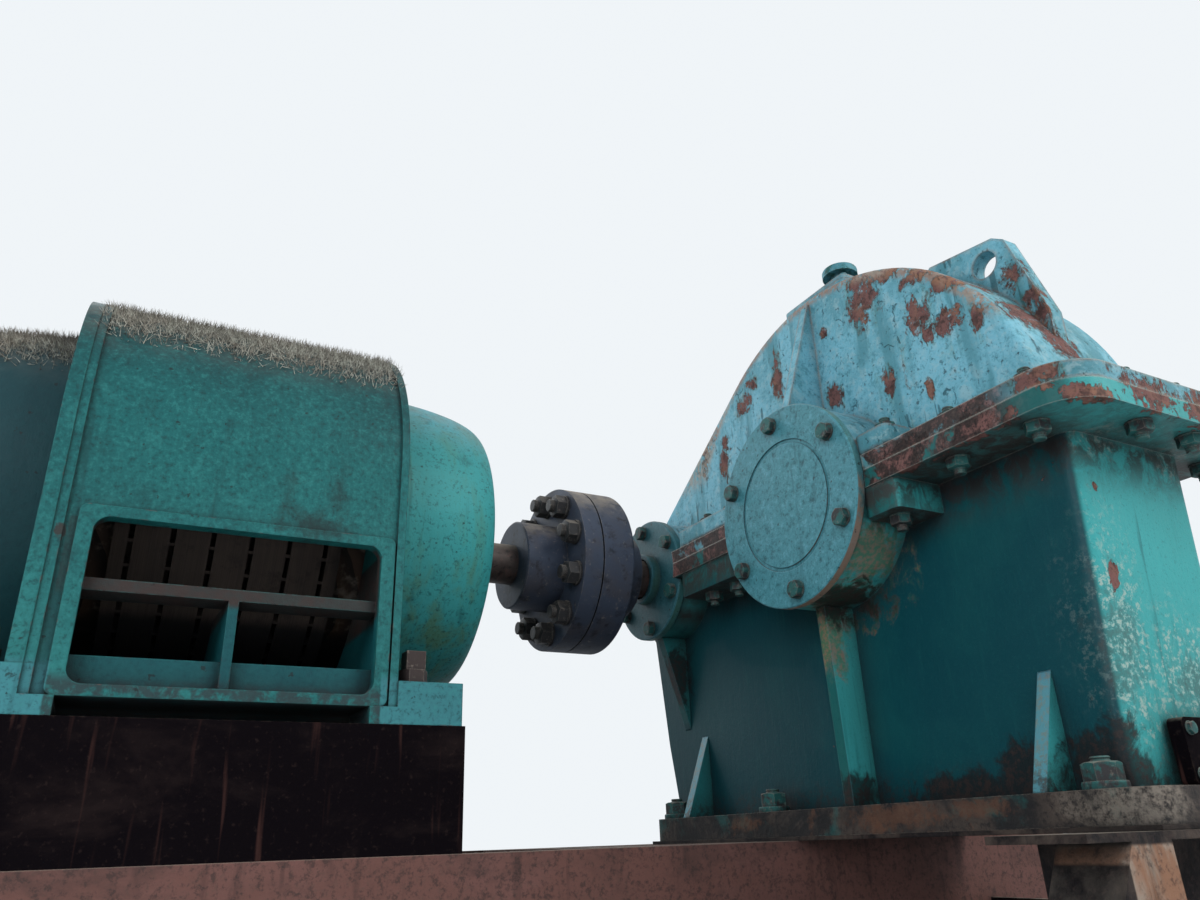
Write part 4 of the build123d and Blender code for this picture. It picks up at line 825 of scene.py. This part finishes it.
# Small pieces that repeat
class Grower:
    """A Geometry Nodes tree with named sizes that repeats a small piece over a carrier mesh."""

    def __init__(self, name, sizes):
        self.tree = bpy.data.node_groups.new(name, "GeometryNodeTree")
        face = self.tree.interface
        face.new_socket("Geometry", in_out="INPUT", socket_type="NodeSocketGeometry")
        self.sizes = {}
        for label, value in sizes.items():
            kind = "NodeSocketInt" if isinstance(value, int) else "NodeSocketFloat"
            made = face.new_socket(label, in_out="INPUT", socket_type=kind)
            self.sizes[made.identifier] = value
        face.new_socket("Geometry", in_out="OUTPUT", socket_type="NodeSocketGeometry")
        self.entry = self.tree.nodes.new("NodeGroupInput").outputs

    def node(self, kind, values=None, output=0, **settings):
        made = self.tree.nodes.new(kind)
        for name, value in settings.items():
            setattr(made, name, value)
        for name, value in (values or {}).items():
            if isinstance(value, bpy.types.NodeSocket):
                self.tree.links.new(value, made.inputs[name])
            else:
                made.inputs[name].default_value = value
        return made.outputs[output]

    def vector(self, x, y, z):
        return self.node("ShaderNodeCombineXYZ", {0: x, 1: y, 2: z})

    def grow(self, context, name, carrier_mesh, geometry, material, body, slot):
        whole = self.node("GeometryNodeRealizeInstances", {"Geometry": geometry})
        coated = self.node("GeometryNodeSetMaterial", {"Geometry": whole, "Material": material})
        out = self.tree.nodes.new("NodeGroupOutput")
        self.tree.links.new(coated, out.inputs[0])
        carrier = bpy.data.objects.new(name + "_carrier", carrier_mesh)
        context.scene.collection.objects.link(carrier)
        modifier = carrier.modifiers.new(name, "NODES")
        modifier.node_group = self.tree
        for identifier, value in self.sizes.items():
            modifier[identifier] = value
        context.view_layer.update()
        grown = carrier.evaluated_get(context.evaluated_depsgraph_get())
        mesh = bpy.data.meshes.new_from_object(grown)
        carrier.modifiers.remove(modifier)
        bpy.data.objects.remove(carrier)
        if not mesh.polygons:
            raise RuntimeError(name + " grew nothing")
        mesh.name = name
        piece = bpy.data.objects.new(name, mesh)
        context.scene.collection.objects.link(piece)
        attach(piece, body)
        return piece


def islands(name):
    """Corner pairs of the separate solids of a CAD node."""
    whole = bmesh.new()
    whole.from_mesh(frame["nodes"][name].data)
    bmesh.ops.remove_doubles(whole, verts=whole.verts, dist=1e-5)
    left = set(whole.verts)
    found = []
    while left:
        group = [left.pop()]
        for vertex in group:
            for edge in vertex.link_edges:
                other = edge.other_vert(vertex)
                if other in left:
                    left.remove(other)
                    group.append(other)
        low = Vector([min(vertex.co[axis] for vertex in group) for axis in range(3)])
        high = Vector([max(vertex.co[axis] for vertex in group) for axis in range(3)])
        found.append((low, high))
    whole.free()
    return sorted(found, key=lambda pair: tuple(round(value, 4) for value in pair[0]))


def fastener_mesh(name, flats, thick, washer, stud=None, shank=()):
    """Chamfered hexagon on its washer along +Z, with a threaded stud end where one is given."""
    sides = 24
    washer_radius, washer_thick = washer

    def hexagon(angle):
        return flats / 2 / math.cos((angle + math.pi / 6) % (math.pi / 3) - math.pi / 6)

    def shoulder(angle):
        return thick - (hexagon(angle) - 0.485 * flats) * 0.6

    rows = [
        *shank,
        (washer_radius, 0.0),
        (washer_radius, washer_thick * 0.75),
        (washer_radius * 0.97, washer_thick),
        (hexagon, washer_thick),
        (hexagon, shoulder),
        (0.47 * flats, thick),
    ]
    if stud:
        radius, tail = stud
        rows.append(rows[-1])
        turns = max(2, int(tail / 0.004))
        for turn in range(turns):
            for share, grow in ((0.25, 1.0), (0.75, 0.9)):
                height = thick + tail * (turn + share) / turns
                rows.append((radius * grow, height))
    built = bmesh.new()
    rings = []
    for row in rows:
        ring = []
        for side in range(sides):
            angle = 2 * math.pi * side / sides
            radius, height = [size(angle) if callable(size) else size for size in row]
            ring.append(
                built.verts.new((radius * math.cos(angle), radius * math.sin(angle), height))
            )
        rings.append(ring)
    for lower, upper in zip(rings, rings[1:]):
        for side in range(sides):
            following = (side + 1) % sides
            built.faces.new((lower[side], lower[following], upper[following], upper[side]))
    built.faces.new(reversed(rings[0]))
    built.faces.new(rings[-1])
    bmesh.ops.recalc_face_normals(built, faces=built.faces)
    mesh = bpy.data.meshes.new(name)
    built.to_mesh(mesh)
    built.free()
    return mesh


def fit_fasteners(context, name, mesh, places, body, replaced=None):
    """Stand a copy of the mesh on each place, along its outward direction, turned at random."""
    model = bpy.data.objects.new(name + "_model", mesh)
    carrier = bpy.data.meshes.new(name + "_places")
    carrier.from_pydata([tuple(place) for place, outward in places], [], [])
    directions = carrier.attributes.new("outward", "FLOAT_VECTOR", "POINT")
    for item, (place, outward) in zip(directions.data, places):
        item.vector = outward
    grower = Grower(name, {"Turn": math.pi / 3, "Seed": 7, "Size": 1.0})
    node = grower.node
    outward = node("GeometryNodeInputNamedAttribute", {"Name": "outward"}, data_type="FLOAT_VECTOR")
    aligned = node("FunctionNodeAlignRotationToVector", {"Vector": outward}, axis="Z")
    turn = node(
        "FunctionNodeRandomValue",
        {2: 0.0, 3: grower.entry["Turn"], "Seed": grower.entry["Seed"]},
        output=1,
        data_type="FLOAT",
    )
    spin = node("FunctionNodeAxisAngleToRotation", {"Axis": (0, 0, 1), "Angle": turn})
    rotation = node("FunctionNodeRotateRotation", {0: aligned, 1: spin}, rotation_space="LOCAL")
    shape = node("GeometryNodeObjectInfo", {"Object": model}, output="Geometry")
    copies = node(
        "GeometryNodeInstanceOnPoints",
        {
            "Points": grower.entry["Geometry"],
            "Instance": shape,
            "Rotation": rotation,
            "Scale": grower.entry["Size"],
        },
    )
    material = finish_of(context, "bolt_steel")
    piece = grower.grow(context, name, carrier, copies, material, body, "bolt_steel")
    bpy.data.objects.remove(model)
    if replaced:
        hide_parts(replaced)


def seats(name, axis, middle):
    """Where a node's fasteners stand and which way they point, from their solids' boxes."""
    found = []
    for low, high in islands(name):
        centre = (low + high) / 2
        outward = Vector((0, 0, 0))
        outward[axis] = 1 if centre[axis] > middle else -1
        centre[axis] = low[axis] if outward[axis] > 0 else high[axis]
        found.append((centre, outward))
    return found


class DRIVE_OT_dress_bed(bpy.types.Operator):
    """Finish the bed, the outrigger and the motor's pedestal"""

    bl_idname = "drive.dress_bed"
    bl_label = "Dress bed"

    def execute(self, context):
        names = [name for name in frame["nodes"] if name.startswith("bed_")]
        dress(context, names + ["outrigger", "motor_pedestal", "reducer_shim"])
        return {"FINISHED"}


class DRIVE_OT_dress_motor(bpy.types.Operator):
    """Finish the motor's castings, core and windings"""

    bl_idname = "drive.dress_motor"
    bl_label = "Dress motor"

    def execute(self, context):
        names = [name for name in frame["nodes"] if name.startswith("motor_")]
        names.remove("motor_pedestal")
        dress(context, names + ["slip_ring_housing"])
        return {"FINISHED"}


class DRIVE_OT_dress_coupling(bpy.types.Operator):
    """Finish the coupling's halves and pins"""

    bl_idname = "drive.dress_coupling"
    bl_label = "Dress coupling"

    def execute(self, context):
        dress(context, [name for name in frame["nodes"] if name.startswith("coupling_")])
        return {"FINISHED"}


class DRIVE_OT_dress_reducer(bpy.types.Operator):
    """Finish the reducer's castings, caps, shafts and bolts"""

    bl_idname = "drive.dress_reducer"
    bl_label = "Dress reducer"

    def execute(self, context):
        kinds = ("reducer_", "input_", "output_", "inspection_", "cleaning_", "breather", "oil_")
        dress(
            context,
            [name for name in frame["nodes"] if name.startswith(kinds) and name != "reducer_shim"],
        )
        return {"FINISHED"}


class DRIVE_OT_fit_reducer_bolts(bpy.types.Operator):
    """Washers, chamfered nuts and threaded studs on the reducer"""

    bl_idname = "drive.fit_reducer_bolts"
    bl_label = "Fit reducer bolts"

    def execute(self, context):
        thin = context.scene.drive_sizes.washer_thick
        for name, axis, middle, mesh_name, *shape in (
            ("cap_bolts", 0, REDUCER_MID_X, "cap_bolt_head", 0.036, 0.019, (0.0205, thin)),
            (
                "split_bolts", 2, SHAFT_HEIGHT,
                "split_nut", 0.041, 0.022, (0.0235, thin), (0.012, 0.014),
            ),
            ("foot_bolts", 2, 0.0, "foot_nut", 0.055, 0.042, (0.036, 0.012), (0.016, 0.010)),
        ):
            mesh = fastener_mesh(mesh_name, *shape)
            replaced = "reducer_" + name
            fit_fasteners(context, name, mesh, seats(replaced, axis, middle), "machine", replaced)
        return {"FINISHED"}


class DRIVE_OT_fit_coupling_pins(bpy.types.Operator):
    """Pins of the coupling with washers, nuts, threaded tails and bushes"""

    bl_idname = "drive.fit_coupling_pins"
    bl_label = "Fit coupling pins"

    def execute(self, context):
        shank = ((0.031, -0.1485), (0.031, -0.0595), (0.018, -0.0595), (0.018, 0.0))
        pin = fastener_mesh("coupling_pin", 0.055, 0.036, (0.033, 0.007), (0.018, 0.016), shank)
        places = []
        for low, high in islands("coupling_pins"):
            place = (low + high) / 2
            place.x = -0.0555
            places.append((place, Vector((-1, 0, 0))))
        fit_fasteners(context, "coupling_pin_set", pin, places, "drive_line", "coupling_pins")
        return {"FINISHED"}


class DRIVE_OT_fit_small_screws(bpy.types.Operator):
    """Screws of the bearing cap, the inspection and cleaning covers and the slip ring housing"""

    bl_idname = "drive.fit_small_screws"
    bl_label = "Fit small screws"

    def execute(self, context):
        flats = context.scene.drive_sizes.screw_flats
        screw = fastener_mesh("small_screw", flats, 0.45 * flats, (0.62 * flats, 0.1 * flats))
        places = []
        for step in range(6):
            angle = math.radians(30 + 60 * step)
            across = (0.125 * math.cos(angle), SHAFT_HEIGHT + 0.125 * math.sin(angle))
            places.append((Vector((-0.326, *across)), Vector((1, 0, 0))))
        for step in range(8):
            outward = Vector((0, math.cos(step * math.pi / 4), math.sin(step * math.pi / 4)))
            places.append((Vector((-1.535, 0, SHAFT_HEIGHT)) + 0.3 * outward, outward))
        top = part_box("inspection_cover")[1][2]
        for x in (-0.125, 0.0, 0.125):
            for y in (-0.104, 0.0, 0.104):
                if x or y:
                    place = Vector((REDUCER_MID_X + x, OUTPUT_Y + y, top))
                    places.append((place, Vector((0, 0, 1))))
        low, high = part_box("cleaning_cover")
        for x in (low[0] + 0.018, high[0] - 0.018):
            for z in (low[2] + 0.018, high[2] - 0.018):
                places.append((Vector((x, low[1], z)), Vector((0, -1, 0))))
        fit_fasteners(context, "small_screws", screw, places, "machine")
        return {"FINISHED"}


class DRIVE_OT_grow_core_spacers(bpy.types.Operator):
    """Spacers that hold the core's packs apart, all round each cooling gap"""

    bl_idname = "drive.grow_core_spacers"
    bl_label = "Grow core spacers"

    def execute(self, context):
        grower = Grower(
            "core_spacers",
            {
                "Gaps": 6,
                "Pitch": 0.074,
                "Spacers": 48,
                "Radius": 0.3545,
                "Depth": 0.046,
                "Thickness": context.scene.drive_sizes.spacer_thick,
                "Width": 0.010,
            },
        )
        node = grower.node
        entry = grower.entry
        bar = node(
            "GeometryNodeMeshCube",
            {"Size": grower.vector(entry["Depth"], entry["Thickness"], entry["Width"])},
        )
        ring = node(
            "GeometryNodeMeshCircle", {"Vertices": entry["Spacers"], "Radius": entry["Radius"]}
        )
        outward = node(
            "FunctionNodeAlignRotationToVector",
            {"Vector": node("GeometryNodeInputPosition")},
            axis="X",
        )
        bars = node(
            "GeometryNodeInstanceOnPoints", {"Points": ring, "Instance": bar, "Rotation": outward}
        )
        upright = node("GeometryNodeTransform", {"Geometry": bars, "Rotation": (0, math.pi / 2, 0)})
        gaps = node(
            "GeometryNodeMeshLine",
            {
                "Count": entry["Gaps"],
                "Start Location": (MOTOR_MID_X - 0.185, 0, SHAFT_HEIGHT),
                "Offset": grower.vector(entry["Pitch"], 0.0, 0.0),
            },
        )
        rings = node("GeometryNodeInstanceOnPoints", {"Points": gaps, "Instance": upright})
        carrier = bpy.data.meshes.new("core_spacers")
        material = finish_of(context, "core_plates")
        grower.grow(context, "core_spacers", carrier, rings, material, "machine", "core_plates")
        return {"FINISHED"}


class DRIVE_OT_grow_crown_dust(bpy.types.Operator):
    """Matted dust that stands like bristles on the motor's crown and its rear bell"""

    bl_idname = "drive.grow_crown_dust"
    bl_label = "Grow crown dust"

    def execute(self, context):
        sizes = context.scene.drive_sizes
        grower = Grower(
            "crown_bristles",
            {
                "Density": 50000.0,
                "Length": sizes.bristle_length,
                "Width": sizes.bristle_width,
                "Lean": 0.75,
                "Seed": 11,
            },
        )
        node = grower.node
        entry = grower.entry
        thick = node("GeometryNodeInputNamedAttribute", {"Name": "thick"}, data_type="FLOAT")
        density = node("ShaderNodeMath", {0: thick, 1: entry["Density"]}, operation="MULTIPLY")
        scatter = grower.tree.nodes.new("GeometryNodeDistributePointsOnFaces")
        grower.tree.links.new(entry["Geometry"], scatter.inputs["Mesh"])
        grower.tree.links.new(density, scatter.inputs["Density"])
        grower.tree.links.new(entry["Seed"], scatter.inputs["Seed"])
        chance = node(
            "FunctionNodeRandomValue",
            {0: (-1, -1, -1.3), 1: (1, 1, 0.7), "Seed": entry["Seed"]},
            data_type="FLOAT_VECTOR",
        )
        lean = node("ShaderNodeVectorMath", {0: chance, "Scale": entry["Lean"]}, operation="SCALE")
        stand = node(
            "ShaderNodeVectorMath", {0: scatter.outputs["Normal"], 1: lean}, operation="ADD"
        )
        rotation = node("FunctionNodeAlignRotationToVector", {"Vector": stand}, axis="Z")
        size = node(
            "FunctionNodeRandomValue", {2: 0.25, 3: 1.0, "Seed": 3}, output=1, data_type="FLOAT"
        )
        bristle = node(
            "GeometryNodeMeshCone",
            {
                "Vertices": 3,
                "Radius Top": 0.0,
                "Radius Bottom": entry["Width"],
                "Depth": entry["Length"],
            },
        )
        bristles = node(
            "GeometryNodeInstanceOnPoints",
            {
                "Points": scatter.outputs["Points"],
                "Instance": bristle,
                "Rotation": rotation,
                "Scale": size,
            },
        )
        built = bmesh.new()
        lain = built.verts.layers.float.new("thick")
        for stations, reach in (
            ([-1.236 + 0.076 * step for step in range(9)], lambda x: 0.395),
            ([-1.50 + 0.047 * step for step in range(6)], self.bell_radius),
        ):
            spread = 0.130 if stations[0] > -1.3 else 0.0
            lift = 0.017 if spread else 0.0
            columns = []
            for x in stations:
                column = []
                for degrees in range(30, 151, 4):
                    angle = math.radians(degrees)
                    side = -spread if degrees < 90 else spread
                    across = side - reach(x) * math.cos(angle)
                    up = SHAFT_HEIGHT + lift + reach(x) * math.sin(angle)
                    vertex = built.verts.new((x, across, up))
                    vertex[lain] = min(1.0, max(0.0, (60 - abs(degrees - 90)) / 16))
                    column.append(vertex)
                columns.append(column)
            for one, other in zip(columns, columns[1:]):
                for step in range(len(one) - 1):
                    built.faces.new((one[step], other[step], other[step + 1], one[step + 1]))
        carrier = bpy.data.meshes.new("crown_bristles")
        built.to_mesh(carrier)
        built.free()
        material = finish_of(context, "crown_dust")
        grower.grow(
            context, "crown_bristles", carrier, bristles, material, "machine", "motor_paint"
        )
        return {"FINISHED"}

    def bell_radius(self, x):
        share = (-1.239 - x) / 0.273
        return 0.328 + 0.060 * math.sqrt(max(0.0, 1 - share * share))


class DRIVE_OT_set_stage(bpy.types.Operator):
    """Pale floor, soft lamps and the camera"""

    bl_idname = "drive.set_stage"
    bl_label = "Set stage"

    def execute(self, context):
        scene = context.scene
        floor_mesh = bpy.data.meshes.new("stage_floor")
        sides = ((-1, -1), (1, -1), (1, 1), (-1, 1))
        corners = [(x * FLOOR_REACH, y * FLOOR_REACH, FLOOR_LEVEL) for x, y in sides]
        floor_mesh.from_pydata(corners, [], [(0, 1, 2, 3)])
        floor = bpy.data.objects.new("stage_floor", floor_mesh)
        scene.collection.objects.link(floor)
        concrete = Finish("stage_pale_floor")
        grain = concrete.noise(3.0, 4, 0.5)
        concrete.base = concrete.mix(grain, (0.74, 0.75, 0.76), (0.80, 0.81, 0.82))
        concrete.close(0.85 + grain * 0.05, grain, 0.001)
        floor_mesh.materials.append(concrete.material)

        lamps = (
            ("key_lamp", (2.6, -4.6, 4.4), 3.4, 215.0, (1.0, 0.975, 0.94)),
            ("fill_lamp", (-4.6, -3.6, 2.6), 3.6, 165.0, (0.95, 0.97, 1.0)),
            ("back_lamp", (-1.5, 4.5, 4.5), 3.6, 150.0, (0.94, 0.97, 1.0)),
        )
        aim = Vector((-0.2, -0.4, 0.95))
        for name, place, size, power, tint in lamps:
            light = bpy.data.lights.new(name, "AREA")
            light.size = size
            light.energy = power
            light.color = tint
            lamp = bpy.data.objects.new(name, light)
            lamp.location = place
            lamp.rotation_euler = (aim - Vector(place)).to_track_quat("-Z", "Y").to_euler()
            scene.collection.objects.link(lamp)

        world = bpy.data.worlds.new("studio")
        world.use_nodes = True
        tree = world.node_tree
        tree.nodes.clear()
        rays = tree.nodes.new("ShaderNodeLightPath")
        seen = rays.outputs["Is Camera Ray"]
        for kind in ("Is Glossy Ray", "Is Transmission Ray"):
            both_kinds = tree.nodes.new("ShaderNodeMath")
            both_kinds.operation = "MAXIMUM"
            tree.links.new(seen, both_kinds.inputs[0])
            tree.links.new(rays.outputs[kind], both_kinds.inputs[1])
            seen = both_kinds.outputs[0]
        room = tree.nodes.new("ShaderNodeBackground")
        room.inputs["Color"].default_value = (0.86, 0.93, 1.0, 1)
        room.inputs["Strength"].default_value = 0.50
        backdrop = tree.nodes.new("ShaderNodeBackground")
        backdrop.inputs["Color"].default_value = (0.87, 0.91, 0.94, 1)
        backdrop.inputs["Strength"].default_value = 1.0
        both = tree.nodes.new("ShaderNodeMixShader")
        out = tree.nodes.new("ShaderNodeOutputWorld")
        tree.links.new(seen, both.inputs[0])
        tree.links.new(room.outputs[0], both.inputs[1])
        tree.links.new(backdrop.outputs[0], both.inputs[2])
        tree.links.new(both.outputs[0], out.inputs[0])
        scene.world = world

        yaw, pitch, roll = math.radians(CAMERA_YAW), math.radians(CAMERA_PITCH), CAMERA_ROLL
        ahead = Vector(
            (math.sin(yaw) * math.cos(pitch), math.cos(yaw) * math.cos(pitch), math.sin(pitch))
        )
        right = Vector((math.cos(yaw), -math.sin(yaw), 0))
        top = right.cross(ahead)
        level_right = math.cos(roll) * right - math.sin(roll) * top
        level_top = math.sin(roll) * right + math.cos(roll) * top
        view = bpy.data.cameras.new("photo_view")
        view.sensor_fit = "HORIZONTAL"
        view.sensor_width = 36.0
        view.lens = CAMERA_LENS
        view.clip_start = 0.05
        view.clip_end = 200.0
        camera = bpy.data.objects.new("photo_view", view)
        turn = Matrix((level_right, level_top, -ahead)).transposed()
        camera.matrix_world = Matrix.Translation(CAMERA_PLACE) @ turn.to_4x4()
        scene.collection.objects.link(camera)
        scene.camera = camera
        scene.view_settings.view_transform = "Standard"
        return {"FINISHED"}


class DRIVE_PT_pieces(bpy.types.Panel):
    """Buttons for the pieces of the drive unit"""

    bl_label = "Mill drive"
    bl_idname = "DRIVE_PT_pieces"
    bl_space_type = "VIEW_3D"
    bl_region_type = "UI"
    bl_category = "Mill drive"

    def draw(self, context):
        for operator in OPERATORS:
            self.layout.operator(operator.bl_idname)
        for group in (context.scene.drive_colours, context.scene.drive_sizes):
            for name in group.__annotations__:
                self.layout.prop(group, name)


OPERATORS = (
    DRIVE_OT_set_stage,
    DRIVE_OT_dress_bed,
    DRIVE_OT_dress_motor,
    DRIVE_OT_dress_coupling,
    DRIVE_OT_dress_reducer,
    DRIVE_OT_fit_reducer_bolts,
    DRIVE_OT_fit_coupling_pins,
    DRIVE_OT_fit_small_screws,
    DRIVE_OT_grow_core_spacers,
    DRIVE_OT_grow_crown_dust,
)
CLASSES = (DriveColours, DriveSizes, *OPERATORS, DRIVE_PT_pieces)


def register():
    for kind in CLASSES:
        bpy.utils.register_class(kind)
    bpy.types.Scene.drive_colours = bpy.props.PointerProperty(type=DriveColours)
    bpy.types.Scene.drive_sizes = bpy.props.PointerProperty(type=DriveSizes)


def unregister():
    del bpy.types.Scene.drive_sizes
    del bpy.types.Scene.drive_colours
    for kind in reversed(CLASSES):
        bpy.utils.unregister_class(kind)


def main():
    register()
    for operator in OPERATORS:
        group, name = operator.bl_idname.split(".")
        getattr(getattr(bpy.ops, group), name)()


if __name__ == "__main__":
    main()
